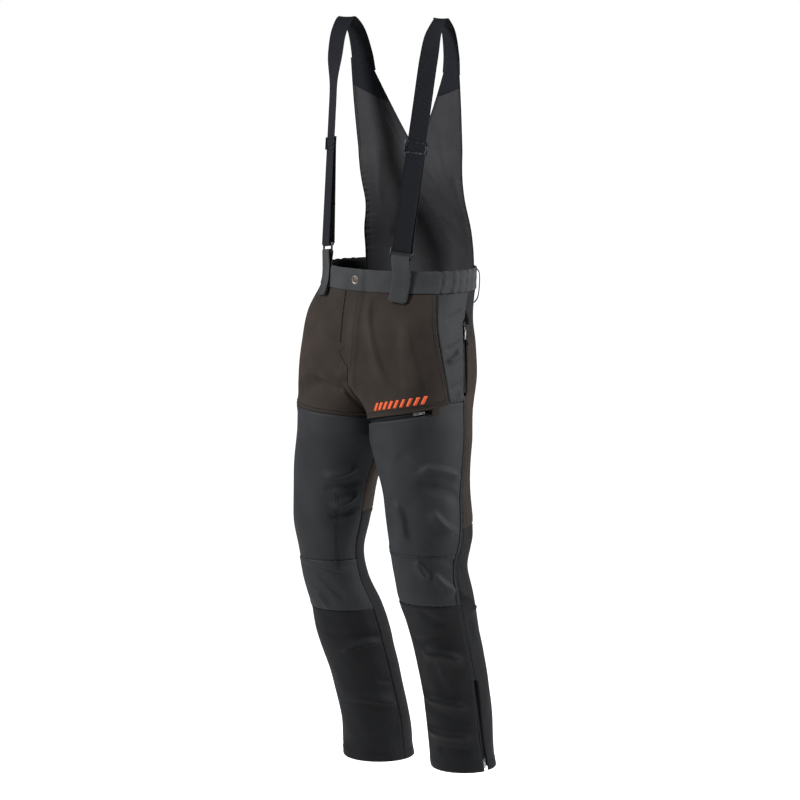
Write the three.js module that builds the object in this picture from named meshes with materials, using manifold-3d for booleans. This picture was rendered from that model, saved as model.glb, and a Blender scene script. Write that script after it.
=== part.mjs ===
// High-back protective trousers with elastic braces, held up at the wearer's waist.
// Millimetres, +Z up. The front faces -Y and the wearer's left is +X.
// The origin is the centre of the waist opening, level with the waistband's top edge.
import * as THREE from 'three';
import { mergeVertices } from 'three/addons/utils/BufferGeometryUtils.js';
import Module from 'manifold-3d';

const wasm = await Module();
wasm.setup();

// ---------- Driving dimensions ----------
const SEAM_GAP = 0.6;            // clear gap between two panels at a seam
const CLEARANCE = 0.4;           // clear gap between pieces that rest on each other
const SHELL = 1.6;               // thickness of the outer fabric
const LINING = 1.0;
const PAD = 6;                   // protective layers inside the front of each leg
const PAD_DEPTH = 5.5;           // from the outer surface to the pad
const PAD_EDGE_DEPTH = 3.2;      // and to its back edge, sewn along the back of the leg
const WAISTBAND_HEIGHT = 44;
const WAISTBAND = 2.6;           // thickness of the folded waistband
const FLAP_REACH = 28;           // how far the left front laps over the centre
const FLAP_RISE = 3.4;           // how far the lap stands off the layer below
const FLY_LENGTH = 190;
const CROTCH = 353;              // depth of the crotch point below the waist
const RISE_BLEND = 215;          // depth where the two legs start to part
const SEWN_EDGE = 2.5;           // depth of an inner layer's edge where it is sewn to the shell
const PAD_END = 850;             // depth of the pads' lower edge
const LINING_DEPTH = [PAD + 10.2, PAD + 12.6]; // from the outer surface to the lining: behind the
                                 // pads, and below them
const BAG_DEPTH = 4.2;           // from the outer surface to the hand pockets' bags
const UNDER_ZIP = 11;            // and to their edges behind the zips
const STUD_RADIUS = 9.5;

const BIB_HEIGHT = 428;          // top of the bib's two horns
const BIB_NECK = 240;            // lowest point of the V between the horns
const BIB_HALF_WIDTH = 140;
const BIB_THICK = 1.6;
const BIB_LEAN = 15.98;          // how far the horns' tops come forward of the V's lowest point

const WEB_WIDTH = 40;            // brace webbing
const WEB = 1.6;
const WEB_YAW = 0.43;            // how far the front run turns outward, in radians
const WEB_LOW = [108, -112, 46]; // the straight front run, from the ring
const WEB_HIGH = [133, -56, BIB_HEIGHT + 10];
const WEB_ARCH = [[134, -42, 60], [134, -20, 86], [134, 2, 66], [132.5, 18.8, 12], [132, 22.2, -28]]
  .map(([x, y, up]) => [x, y, BIB_HEIGHT + up]); // over the shoulder, down to the horn
const RING_BAR = 4;              // square bar of the rings
const RING_HEIGHT = 22;
const RING_WIDTH = WEB_WIDTH + 2 + 2 * RING_BAR;
const LOOP_PLAY = 2.4;           // free space round the ring's bar inside the webbing's loop
const TAB_PLAY = 1.4;
const TAB_WIDTH = 38;
const TAB_CLOTH = 1.4;
const TAB_SHARE = 0.25;
const TAB_END = 64;              // depth of the tab's lower edge
const ADJUSTER_UP = 210;         // from the ring's top bar, along the webbing
const ADJUSTER_HEIGHT = 26;
const ADJUSTER_BAR = 4;
const ADJUSTER_THICK = 1.8;
const ADJUSTER_SIDE = 3.5;
const LOOP_WIDTH = 14;           // belt loops
const LOOP_SHARE = 0.645;
const LOOP_END = 72;

const ZIP_SLOT = 12;             // opening between two panels that shows a zip
const ZIP_TAPE_HALF = 9;
const ZIP_TAPE_THICK = 1.2;
const ZIP_SINK = 3;            // from the outer surface down to the tape's face
const ROW_PITCH = 34;            // spacing of the rows that neighbouring panels share
const THIGH_ZIP_SINK = 5;
const FLY_ZIP_SINK = 12;
const UNDER_FLY_ZIP = 16;        // from the outer surface to the guard behind the fly zip
const CHAIN_HALF = 2;            // the closed row of teeth
const CHAIN_RISE = 1.4;
const SLIDER_LENGTH = 11;
const SLIDER_PLATE = 1;
const SLIDER_FLANGE = 1;
const BRIDGE = 1;
const BRIDGE_WIDTH = 1.8;
const PULL_WIDTH = 5;
const PULL_THICK = 1;
const POCKET_ZIP_TOP = 105;
const POCKET_ZIP_END = 250;
const LEG_ZIP_OPEN = 6;          // from the zip's lower end to the hem
const THIGH_ZIP = [0.06, 0.4];   // shares between which the thigh pocket's zip lies
const YOKE_CORNER = 0.46;

// Each leg hangs a little differently, so its seams lie at depths of their own.
const SIDES = {
  left: {
    sign: 1, yokeOuter: 267, yokeInner: 322, kneeTop: 580, kneeBottom: 690, hem: 1068,
    legZipSink: 7.8,             // deeper than other zips, as the leg bows in along it
    // depth, half width
    girth: [[352, 106], [450, 91], [545, 89], [610, 79], [675, 79], [740, 74], [805, 72],
      [900, 72], [1000, 69], [1068, 68]],
  },
  right: {
    sign: -1, yokeOuter: 297, yokeInner: 315, kneeTop: 630, kneeBottom: 742, hem: 1088,
    legZipSink: 9.2,
    girth: [[352, 106], [450, 91], [545, 83], [610, 70], [675, 70], [740, 76], [805, 80],
      [900, 76], [1000, 76], [1088, 77]],
  },
};
// depth, distance from the middle plane, distance behind the waist's centre
const LEG_LINE = [[352, 107, -52], [450, 129, -60], [545, 141, -61], [610, 142, -62],
  [675, 144, -46], [740, 140, -18], [805, 139, 3], [900, 133, 33], [1000, 126, 56],
  [1088, 126, 68]];
// depth, half width, centre, reach to the front, reach to the back, squareness of the front
const HIP_LINE = [[0, 179, 0, 130, 130, 2], [45, 181, -8, 124, 136, 2.2],
  [100, 190, -30, 112, 150, 3], [160, 200, -40, 110, 165, 3], [225, 205, -45, 112, 172, 3],
  [352, 206, -52, 110, 175, 3]];
// Seam lines on the surface: depth, share of the way round from the inseam.
const FRONT_PANEL_EDGE = [[0, 0.38], [150, 0.42], [300, 0.475]];
const OUTSEAM = [[0, 0.545], [370, 0.535], [590, 0.495], [720, 0.47], [850, 0.47], [1088, 0.49]];
const SIDE_STRIP_BACK = 0.64;
const SIDE_STRIP_TOP = 112;
const GUSSET_BACK = 0.9;
const BACK_SPLIT = 525;          // depth where strip, gusset and seat end on the back leg
const LEG_ZIP_TOP = 868;

// ---------- Numbers between stations ----------
// A smooth curve through the rows of a list, each row being [depth, value, value, ...].
function station(rows, depth) {
  const last = rows.length - 1;
  const at = THREE.MathUtils.clamp(depth, rows[0][0], rows[last][0]);
  let i = 0;
  while (i < last - 1 && at > rows[i + 1][0]) i += 1;
  const [a, b] = [rows[i], rows[i + 1]];
  const before = rows[Math.max(i - 1, 0)];
  const after = rows[Math.min(i + 2, last)];
  const span = b[0] - a[0];
  const t = (at - a[0]) / span;
  return a.slice(1).map((value, k) => {
    const slopeA = (b[k + 1] - before[k + 1]) / (b[0] - before[0]) * span;
    const slopeB = (after[k + 1] - value) / (after[0] - a[0]) * span;
    return (2 * t ** 3 - 3 * t ** 2 + 1) * value + (t ** 3 - 2 * t ** 2 + t) * slopeA
      + (3 * t ** 2 - 2 * t ** 3) * b[k + 1] + (t ** 3 - t ** 2) * slopeB;
  });
}

const mix = THREE.MathUtils.lerp;
// Rises smoothly from 0 at `start` to 1 at `end`, whichever of them is larger.
const smooth = (start, end, value) => THREE.MathUtils.smootherstep(
  (value - start) / (end - start), 0, 1);

// ---------- The trousers' surface ----------
// A point on one side of the garment. `share` runs round the side from the centre front
// and inseam (0) through the outseam (0.5) to the centre back and inseam (1). A share
// below 0 goes on over the centre front.
function surface(sideName, share, depth) {
  const side = SIDES[sideName];
  const [half, centre, front, back, square] = station(HIP_LINE, depth);
  const angle = Math.PI * share;
  const [s, c] = [Math.sin(angle), Math.cos(angle)];
  const reach = c > 0 ? front : back;
  const power = c > 0 ? square : 2;
  const radius = (Math.abs(s / half) ** power + Math.abs(c / reach) ** power) ** (-1 / power);
  const hip = [radius * s, centre - radius * c];
  const [legX, legY] = station(LEG_LINE, depth);
  const [girth] = station(side.girth, depth);
  const leg = [legX - girth * Math.cos(2 * angle), legY - girth * Math.sin(2 * angle)];
  const parted = smooth(RISE_BLEND, CROTCH, depth);
  const x = mix(hip[0], leg[0], parted);
  const y = mix(hip[1], leg[1], parted);
  return new THREE.Vector3(side.sign * x, y, -depth);
}

// How far one unit of `share` goes along the surface, in millimetres.
function stride(sideName, share, depth) {
  const step = 0.004;
  const a = surface(sideName, share, depth);
  return a.distanceTo(surface(sideName, share + step, depth)) / step;
}

// A point `inward` millimetres below the surface.
function below(sideName, share, depth, inward) {
  const step = 0.004;
  const across = surface(sideName, share + step, depth).sub(surface(sideName, share - step, depth));
  const up = surface(sideName, share, Math.max(depth - 2, 0))
    .sub(surface(sideName, share, depth + 2));
  const normal = across.cross(up).normalize().multiplyScalar(SIDES[sideName].sign);
  return surface(sideName, share, depth).addScaledVector(normal, -inward);
}

// ---------- Making solids ----------
const DARK_NYLON = { color: 0x36383a, roughness: 0.55, metalness: 0 };
const SOFTSHELL = { color: 0x3a322e, roughness: 0.85, metalness: 0 };
const BLACK_NYLON = { color: 0x232527, roughness: 0.6, metalness: 0 };
const BAND_CLOTH = { color: 0x424446, roughness: 0.7, metalness: 0 };
const WEBBING = { color: 0x1c1f27, roughness: 0.75, metalness: 0 };
const PLASTIC = { color: 0x33363c, roughness: 0.4, metalness: 0 };
const METAL = { color: 0x8a8780, roughness: 0.35, metalness: 0.9 };
const ZIP_TAPE = { color: 0x171a22, roughness: 0.7, metalness: 0 };
const PAD_FIBRE = { color: 0xd8d4c4, roughness: 0.95, metalness: 0 };
const MESH_LINING = { color: 0x15161a, roughness: 0.9, metalness: 0 };

const garment = new THREE.Group();

function add(name, geometry, look, parent = garment) {
  const mesh = new THREE.Mesh(geometry, new THREE.MeshStandardMaterial(look));
  mesh.name = name;
  parent.add(mesh);
  return mesh;
}

// A closed solid between two grids of points. `pair(i, j)` gives [outer, inner].
// With `ring` the columns close on themselves.
function layer(columns, rows, pair, ring = false) {
  const across = ring ? columns : columns + 1;
  const points = [];
  for (let j = 0; j <= rows; j += 1) {
    for (let i = 0; i < across; i += 1) points.push(...pair(i / columns, j / rows));
  }
  const index = (i, j, skin) => 2 * (j * across + (i % across)) + skin;
  const faces = [];
  const quad = (a, b, c, d) => faces.push(a, b, c, a, c, d);
  for (let j = 0; j < rows; j += 1) {
    for (let i = 0; i < columns; i += 1) {
      quad(index(i, j, 0), index(i + 1, j, 0), index(i + 1, j + 1, 0), index(i, j + 1, 0));
      quad(index(i, j, 1), index(i, j + 1, 1), index(i + 1, j + 1, 1), index(i + 1, j, 1));
    }
  }
  for (let i = 0; i < columns; i += 1) {
    quad(index(i, 0, 0), index(i, 0, 1), index(i + 1, 0, 1), index(i + 1, 0, 0));
    quad(index(i, rows, 0), index(i + 1, rows, 0), index(i + 1, rows, 1), index(i, rows, 1));
  }
  for (let j = 0; j < rows && !ring; j += 1) {
    quad(index(0, j, 0), index(0, j + 1, 0), index(0, j + 1, 1), index(0, j, 1));
    quad(index(columns, j, 0), index(columns, j, 1), index(columns, j + 1, 1),
      index(columns, j + 1, 0));
  }
  return facingOut(points, faces);
}

// Turns the faces round if they enclose a negative volume.
function facingOut(points, faces) {
  let volume = 0;
  for (let k = 0; k < faces.length; k += 3) {
    const [a, b, c] = [points[faces[k]], points[faces[k + 1]], points[faces[k + 2]]];
    volume += a.dot(new THREE.Vector3().crossVectors(b, c));
  }
  if (volume < 0) faces.reverse();
  const geometry = new THREE.BufferGeometry().setFromPoints(points);
  geometry.setIndex(faces);
  return geometry;
}

function solidOf(geometry) {
  const plain = geometry.clone();
  plain.deleteAttribute('normal');
  plain.deleteAttribute('uv');
  const merged = mergeVertices(plain, 1e-4);
  return new wasm.Manifold(new wasm.Mesh({
    numProp: 3,
    vertProperties: new Float32Array(merged.attributes.position.array),
    triVerts: new Uint32Array(merged.index.array),
  }));
}

function geometryOf(solid) {
  const { vertProperties, triVerts } = solid.getMesh();
  const geometry = new THREE.BufferGeometry();
  geometry.setAttribute('position', new THREE.BufferAttribute(vertProperties, 3));
  geometry.setIndex(new THREE.BufferAttribute(triVerts, 1));
  return geometry;
}

const join = (...parts) => geometryOf(parts.map(solidOf).reduce((a, b) => a.add(b)));
const cut = (body, ...tools) => geometryOf(tools.map(solidOf)
  .reduce((a, b) => a.subtract(b), solidOf(body)));

function block(width, depth, height, x = 0, y = 0, z = 0) {
  return new THREE.BoxGeometry(width, depth, height).translate(x, y, z);
}

// A closed section [[a, b], ...] carried along frames {at, a, b}.
function sweep(section, frames) {
  const count = section.length;
  const points = frames.flatMap((frame) => section.map(([a, b]) => frame.at.clone()
    .addScaledVector(frame.a, a).addScaledVector(frame.b, b)));
  const faces = [];
  for (let k = 0; k < frames.length - 1; k += 1) {
    for (let i = 0; i < count; i += 1) {
      const [p, q] = [k * count + i, k * count + (i + 1) % count];
      faces.push(p, q, q + count, p, q + count, p + count);
    }
  }
  const caps = THREE.ShapeUtils.triangulateShape(
    section.map(([a, b]) => new THREE.Vector2(a, b)), []);
  const end = (frames.length - 1) * count;
  for (const [i, j, k] of caps) {
    const forward = THREE.ShapeUtils.isClockWise(section.map(([a, b]) => new THREE.Vector2(a, b)));
    if (forward) faces.push(i, j, k, end + i, end + k, end + j);
    else faces.push(i, k, j, end + i, end + j, end + k);
  }
  return facingOut(points, faces);
}

// A flat strip along a line of points. `crosswise(i)` is the direction of its width.
function strip(points, width, thick, crosswise) {
  const section = [[-width / 2, -thick / 2], [width / 2, -thick / 2],
    [width / 2, thick / 2], [-width / 2, thick / 2]];
  const frames = points.map((at, i) => {
    const along = points[Math.min(i + 1, points.length - 1)].clone()
      .sub(points[Math.max(i - 1, 0)]).normalize();
    const a = crosswise(i).clone();
    a.addScaledVector(along, -a.dot(along)).normalize();
    return { at, a, b: along.clone().cross(a) };
  });
  return sweep(section, frames);
}

// Depths of a panel's rows: its two ends and the garment's common rows between them.
function sharedRows(top, bottom) {
  const depths = [top];
  for (let depth = Math.ceil((top + 8) / ROW_PITCH) * ROW_PITCH; depth < bottom - 8;
    depth += ROW_PITCH) depths.push(depth);
  return [...depths, bottom];
}

// A panel of shell fabric between two seams. `from` and `to` are shares that may change
// with depth; `top` and `bottom` are depths that may change with the share. A panel whose
// lower end is slanted is divided into `rows` of its own.
function panel(sideName, options) {
  const { from, to, top, bottom, columns, rows, inward = () => 0, thick = SHELL } = options;
  const half = SEAM_GAP / 2;
  const shareAt = (i, depth) => {
    const low = from(depth) + half / stride(sideName, from(depth), depth);
    const high = to(depth) - half / stride(sideName, to(depth) - 0.01, depth);
    return mix(low, high, i);
  };
  const edgeDepth = (edge, i) => {
    let depth = edge(0);
    for (let k = 0; k < 5; k += 1) depth = edge(shareAt(i, depth));
    return depth;
  };
  const shared = sharedRows(Math.max(top(0), top(1)) + half, bottom(0) - half);
  const extra = top(0) === top(1) ? 0 : 1;
  const count = rows ?? shared.length - 1 + extra;
  return layer(columns, count, (i, j) => {
    const ends = [edgeDepth(top, i) + half, edgeDepth(bottom, i) - half];
    const row = Math.round(j * count) - extra;
    let depth = row > 0 ? shared[row] : mix(ends[0], shared[1], (row + extra) / 2);
    if (rows) depth = mix(...ends, j);
    const share = shareAt(i, depth);
    const lift = inward(share, depth);
    return [below(sideName, share, depth, lift), below(sideName, share, depth, lift + thick)];
  });
}

// ---------- Zips ----------
// A zip's own frame: x across, y along the travel, z outward, z = 0 on the tape's face.
const TAPE_SECTION = [[-ZIP_TAPE_HALF, -ZIP_TAPE_THICK], [ZIP_TAPE_HALF, -ZIP_TAPE_THICK],
  [ZIP_TAPE_HALF, 0], [CHAIN_HALF, 0], [CHAIN_HALF, CHAIN_RISE], [-CHAIN_HALF, CHAIN_RISE],
  [-CHAIN_HALF, 0], [-ZIP_TAPE_HALF, 0]];
const SLIDER_TOP = CHAIN_RISE + CLEARANCE + SLIDER_PLATE;
const PIVOT_HEIGHT = SLIDER_TOP + PULL_THICK / 2 + CLEARANCE;

function sliderGeometry() {
  const flange = SLIDER_TOP - SLIDER_PLATE - CLEARANCE + 0.2;
  const flangeX = CHAIN_HALF + CLEARANCE + SLIDER_FLANGE / 2;
  const bridgeHeight = PULL_THICK + 2 * CLEARANCE + BRIDGE;
  const bridgeMid = SLIDER_TOP + bridgeHeight / 2 - 0.1;
  const postY = SLIDER_LENGTH / 2 - 1.6;
  return join(
    block(2 * flangeX + SLIDER_FLANGE, SLIDER_LENGTH, SLIDER_PLATE, 0, 0,
      SLIDER_TOP - SLIDER_PLATE / 2),
    ...[-1, 1].map((end) => block(SLIDER_FLANGE, SLIDER_LENGTH, flange, end * flangeX, 0,
      CLEARANCE + flange / 2)),
    ...[-1, 1].map((end) => block(BRIDGE_WIDTH, BRIDGE, bridgeHeight, 0, end * postY, bridgeMid)),
    block(BRIDGE_WIDTH, 2 * postY + BRIDGE, BRIDGE, 0, 0,
      SLIDER_TOP + bridgeHeight - BRIDGE / 2),
  );
}

// The pull hangs from a cross bar under the bridge. Its frame's origin is on that bar.
function pullGeometry(length) {
  const eye = SLIDER_LENGTH / 2;
  return cut(
    block(PULL_WIDTH, length, PULL_THICK, 0, length / 2 - PULL_THICK / 2, 0),
    block(BRIDGE_WIDTH + 2 * CLEARANCE, eye, 2 * PULL_THICK, 0, PULL_THICK / 2 + eye / 2, 0),
  );
}

function addSliderAndPull(name, holder, at, turn, pullLength, looks) {
  const slider = add(`${name}_slider`, sliderGeometry(), looks.slider, holder);
  slider.position.copy(at);
  slider.quaternion.copy(turn);
  const pull = add(`${name}_pull`, pullGeometry(pullLength), looks.pull, holder);
  pull.position.copy(new THREE.Vector3(0, 0, PIVOT_HEIGHT).applyQuaternion(turn).add(at));
  pull.quaternion.copy(turn);
}

// A straight zip along an outer line, sunk `sink` millimetres below the line's chord.
function straightZip(name, start, end, outward, sink, closedTo, pullLength, looks) {
  const along = end.clone().sub(start);
  const length = along.length();
  along.normalize();
  const across = along.clone().cross(outward).normalize();
  const holder = new THREE.Group();
  const basis = new THREE.Matrix4().makeBasis(across, along, across.clone().cross(along));
  holder.quaternion.setFromRotationMatrix(basis);
  holder.position.copy(start).addScaledVector(outward, -sink);
  garment.add(holder);
  const frames = [0, length].map((y) => ({
    at: new THREE.Vector3(0, y, 0), a: new THREE.Vector3(1, 0, 0), b: new THREE.Vector3(0, 0, 1),
  }));
  add(`${name}_tape`, sweep(TAPE_SECTION, frames), ZIP_TAPE, holder);
  addSliderAndPull(name, holder, new THREE.Vector3(0, closedTo * length, 0),
    new THREE.Quaternion(), pullLength, looks);
}

// A zip that follows a round: through three points of the surface, sunk below it.
function curvedZip(name, [first, middle, last], sink, closedTo, pullLength, looks) {
  const circle = new THREE.Triangle(first, middle, last);
  const axis = circle.getNormal(new THREE.Vector3());
  const toFirst = first.clone().sub(middle);
  const toLast = last.clone().sub(middle);
  const crossed = toFirst.clone().cross(toLast);
  const centre = crossed.clone().cross(toFirst).multiplyScalar(toLast.lengthSq())
    .add(toLast.clone().cross(crossed).multiplyScalar(toFirst.lengthSq()))
    .divideScalar(2 * crossed.lengthSq()).add(middle);
  const radius = first.distanceTo(centre) - sink;
  const holder = new THREE.Group();
  const xAxis = first.clone().sub(centre).normalize();
  holder.quaternion.setFromRotationMatrix(
    new THREE.Matrix4().makeBasis(xAxis, axis.clone().cross(xAxis), axis));
  holder.position.copy(centre);
  garment.add(holder);
  const sweepAngle = xAxis.angleTo(last.clone().sub(centre));
  const radial = (angle) => new THREE.Vector3(Math.cos(angle), Math.sin(angle), 0);
  const steps = 12;
  const frames = Array.from({ length: steps + 1 }, (_, k) => {
    const out = radial(sweepAngle * k / steps);
    return { at: out.clone().multiplyScalar(radius), a: new THREE.Vector3(0, 0, -1), b: out };
  });
  add(`${name}_tape`, sweep(TAPE_SECTION, frames), ZIP_TAPE, holder);
  const angle = closedTo * sweepAngle;
  const out = radial(angle);
  const turn = new THREE.Quaternion().setFromRotationMatrix(new THREE.Matrix4().makeBasis(
    new THREE.Vector3(0, 0, -1), radial(angle + Math.PI / 2), out));
  addSliderAndPull(name, holder, out.multiplyScalar(radius), turn, pullLength, looks);
}

// ---------- Trouser panels ----------
const fixed = (value) => () => value;

// The side seam. Along the lower leg's zip it is straight, as the zip is.
function outseam(sideName, depth) {
  const end = SIDES[sideName].hem - LEG_ZIP_OPEN;
  const listed = (at) => station(OUTSEAM, at)[0];
  if (depth <= LEG_ZIP_TOP) return listed(depth);
  const at = Math.min(depth, end);
  const yAt = (zipEnd) => surface(sideName, listed(zipEnd), zipEnd).y;
  const y = mix(yAt(LEG_ZIP_TOP), yAt(end), (at - LEG_ZIP_TOP) / (end - LEG_ZIP_TOP));
  const legY = station(LEG_LINE, at)[1];
  const [girth] = station(SIDES[sideName].girth, at);
  return 0.5 - Math.asin((legY - y) / girth) / (2 * Math.PI);
}
const frontEdge = (depth) => station(FRONT_PANEL_EDGE, depth)[0];

// Half the width of the opening that a side zip leaves between two panels.
function zipSlot(sideName, depth) {
  const within = (top, bottom) => smooth(top - 8, top - 2, depth)
    * smooth(bottom + 8, bottom + 2, depth);
  const open = within(POCKET_ZIP_TOP, POCKET_ZIP_END) + within(LEG_ZIP_TOP, SIDES[sideName].hem + 9);
  return open * ZIP_SLOT / 2 / stride(sideName, outseam(sideName, depth), depth);
}
const beforeZip = (name) => (depth) => outseam(name, depth) - zipSlot(name, depth);
const behindZip = (name) => (depth) => outseam(name, depth) + zipSlot(name, depth);

// The side strip tapers to its top, where the seat reaches the outseam.
const hipSeam = (depth) => station(OUTSEAM, depth)[0];
const stripBack = (depth) => mix(hipSeam(depth) + 0.035, SIDE_STRIP_BACK,
  smooth(SIDE_STRIP_TOP, SIDE_STRIP_TOP + 60, depth));
const seatFront = (depth) => mix(hipSeam(depth), stripBack(depth),
  smooth(SIDE_STRIP_TOP - 34, SIDE_STRIP_TOP - 2, depth));

// The gusset on the inside of the thigh widens from the crotch point down.
const gussetFront = (depth) => mix(0.97, GUSSET_BACK, smooth(CROTCH, CROTCH + 60, depth));
const seatBack = (depth) => mix(1, gussetFront(depth), smooth(CROTCH - 34, CROTCH - 2, depth));

// The left front laps over the centre down to the end of the fly, where its edge curves back.
const flyEnd = WAISTBAND_HEIGHT + FLY_LENGTH;
function lapEdge(depth) {
  const curve = Math.sqrt(1 - smooth(flyEnd - 80, flyEnd - 30, depth) ** 2);
  return -FLAP_REACH * curve / stride('right', 0.03, depth);
}
const lapRise = (share) => -FLAP_RISE * smooth(0.075, 0.03, share);

// The seam that the softshell front ends on slants from the inseam up to the outseam.
const yokeSeam = (side) => (share) => mix(side.yokeInner, side.yokeOuter,
  THREE.MathUtils.clamp(share / YOKE_CORNER, 0, 1));
// The left thigh has a pocket zip just under that seam.
const zipDrop = (name, share) => (name === 'left'
  ? ZIP_SLOT * smooth(THIGH_ZIP[0] - 0.02, THIGH_ZIP[0], share)
    * smooth(THIGH_ZIP[1] + 0.02, THIGH_ZIP[1], share) : 0);

for (const [name, side] of Object.entries(SIDES)) {
  const left = name === 'left';
  const yoke = yokeSeam(side);
  const panels = {
    front_panel: [SOFTSHELL, {
      from: left ? lapEdge : fixed(0), to: frontEdge,
      top: fixed(WAISTBAND_HEIGHT), bottom: yoke, columns: left ? 12 : 9, rows: 9,
      inward: (share, depth) => (left ? lapRise(share) * smooth(flyEnd + 22, flyEnd - 5, depth) : 0),
    }],
    hip_panel: [DARK_NYLON, {
      from: frontEdge, to: beforeZip(name), top: fixed(WAISTBAND_HEIGHT),
      bottom: fixed(side.yokeOuter), columns: 3,
    }],
    side_strip: [SOFTSHELL, {
      from: behindZip(name), to: stripBack, top: fixed(SIDE_STRIP_TOP),
      bottom: fixed(BACK_SPLIT), columns: 3,
    }],
    back_panel: [BLACK_NYLON, {
      from: seatFront, to: seatBack, top: fixed(WAISTBAND_HEIGHT), bottom: fixed(BACK_SPLIT),
      columns: 9,
    }],
    thigh_front: [DARK_NYLON, {
      from: fixed(0), to: hipSeam, top: (share) => yoke(share) + zipDrop(name, share),
      bottom: fixed(side.kneeTop), columns: 12,
    }],
    knee_panel: [DARK_NYLON, {
      from: fixed(0), to: hipSeam, top: fixed(side.kneeTop), bottom: fixed(side.kneeBottom),
      columns: 10,
    }],
    shin_front: [BLACK_NYLON, {
      from: fixed(0), to: beforeZip(name), top: fixed(side.kneeBottom), bottom: fixed(side.hem),
      columns: 10,
    }],
    gusset: [SOFTSHELL, {
      from: gussetFront, to: fixed(1), top: fixed(CROTCH), bottom: fixed(BACK_SPLIT),
      columns: 3,
    }],
    back_leg: [BLACK_NYLON, {
      from: behindZip(name), to: fixed(1), top: fixed(BACK_SPLIT), bottom: fixed(side.hem),
      columns: 10,
    }],
    cut_pad: [PAD_FIBRE, {
      from: fixed(0.04), to: fixed(0.6), top: fixed(CROTCH + 8), bottom: fixed(PAD_END),
      columns: 9, thick: PAD,
      inward: (share) => mix(PAD_DEPTH, PAD_EDGE_DEPTH, smooth(0.48, 0.58, share)),
    }],
    hand_pocket_bag: [MESH_LINING, {
      from: (depth) => hipSeam(depth) - 0.15, to: (depth) => hipSeam(depth) - 0.004,
      top: fixed(POCKET_ZIP_TOP + 6), bottom: fixed(POCKET_ZIP_END + 40), columns: 8, rows: 6,
      inward: (share, depth) => mix(BAG_DEPTH, UNDER_ZIP,
        smooth(0.055, 0.03, hipSeam(depth) - share)),
    }],
  };
  for (const [part, [look, options]] of Object.entries(panels)) {
    add(`${part}_${name}`, panel(name, options), look);
  }

  // The lining is a closed tube inside each leg.
  const liningTop = CROTCH + 12;
  const liningEnd = side.hem - 16;
  add(`lining_${name}`, layer(16, 10, (i, j) => {
    const depth = mix(liningTop, liningEnd, j);
    const inward = mix(...LINING_DEPTH, smooth(PAD_END - 60, PAD_END + 10, depth));
    return [below(name, i, depth, inward), below(name, i, depth, inward + LINING)];
  }, true), MESH_LINING);

  // Side zips: the hand pocket's and the one that opens the lower leg.
  const seamPoint = (depth, out = 0) => below(name, outseam(name, depth), depth, -out);
  const outward = (depth) => seamPoint(depth, 1).sub(seamPoint(depth)).normalize();
  straightZip(`hand_pocket_zip_${name}`, seamPoint(POCKET_ZIP_TOP), seamPoint(POCKET_ZIP_END),
    outward((POCKET_ZIP_TOP + POCKET_ZIP_END) / 2), ZIP_SINK, 0.08, 26,
    { slider: PLASTIC, pull: PLASTIC });
  straightZip(`leg_zip_${name}`, seamPoint(LEG_ZIP_TOP), seamPoint(side.hem - LEG_ZIP_OPEN),
    outward((LEG_ZIP_TOP + side.hem) / 2), side.legZipSink, 0.9, 22,
    { slider: PLASTIC, pull: PLASTIC });
}

// The pocket zip across the left thigh, and its bag.
const thighYoke = yokeSeam(SIDES.left);
const thighZipLine = [THIGH_ZIP[0] + 0.02, (THIGH_ZIP[0] + THIGH_ZIP[1]) / 2, THIGH_ZIP[1] - 0.02]
  .map((share) => surface('left', share, thighYoke(share) + ZIP_SLOT / 2));
curvedZip('thigh_pocket_zip', thighZipLine, THIGH_ZIP_SINK, 0.9, 20, { slider: METAL, pull: METAL });
add('thigh_pocket_bag', panel('left', {
  from: fixed(THIGH_ZIP[0] + 0.12), to: fixed(THIGH_ZIP[1]),
  top: (share) => thighYoke(share) + 26,
  bottom: fixed(CROTCH + 105), columns: 10, rows: 6, inward: fixed(4.1), thick: 0.8,
}), MESH_LINING);

// ---------- Waistband, fly and stud ----------
// The band runs from the lap's free end round the left side and the back to the right front,
// and ends underneath the lap. `turn` counts 0 to 2 from centre front to centre front.
const LAP_SHARE = FLAP_REACH / stride('left', 0.03, 20);
const UNDERLAP = 0.03;
function bandPoint(turn, depth, inward) {
  if (turn <= 1) return below('left', turn, depth, inward + lapRise(turn));
  return below('right', 2 - turn, depth, inward);
}
add('waistband', layer(44, 2, (i, j) => {
  const turn = mix(-LAP_SHARE, 2 + UNDERLAP, i);
  const depth = mix(0, WAISTBAND_HEIGHT - SEAM_GAP / 2, j);
  return [bandPoint(turn, depth, 0), bandPoint(turn, depth, WAISTBAND)];
}), BAND_CLOTH);

const frontAt = (depth) => surface('left', 0, depth);
const studDepth = WAISTBAND_HEIGHT / 2;
const forward = new THREE.Vector3(0, -1, 0);
function stud(name, radius, height, front) {
  const profile = [[0, 0], [radius, 0], [radius, height * 0.6], [radius - 1.2, height], [0, height]]
    .map(([r, h]) => new THREE.Vector2(r, h));
  const mesh = add(name, new THREE.LatheGeometry(profile, 20), METAL);
  mesh.position.copy(frontAt(studDepth)).addScaledVector(forward, front);
  mesh.rotation.x = Math.PI;
}
stud('stud_cap', STUD_RADIUS, 2.4, FLAP_RISE + CLEARANCE + 0.8);
stud('stud_base', STUD_RADIUS - 2.5, 1.6, -WAISTBAND - 1.6 - CLEARANCE - 0.8);

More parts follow.
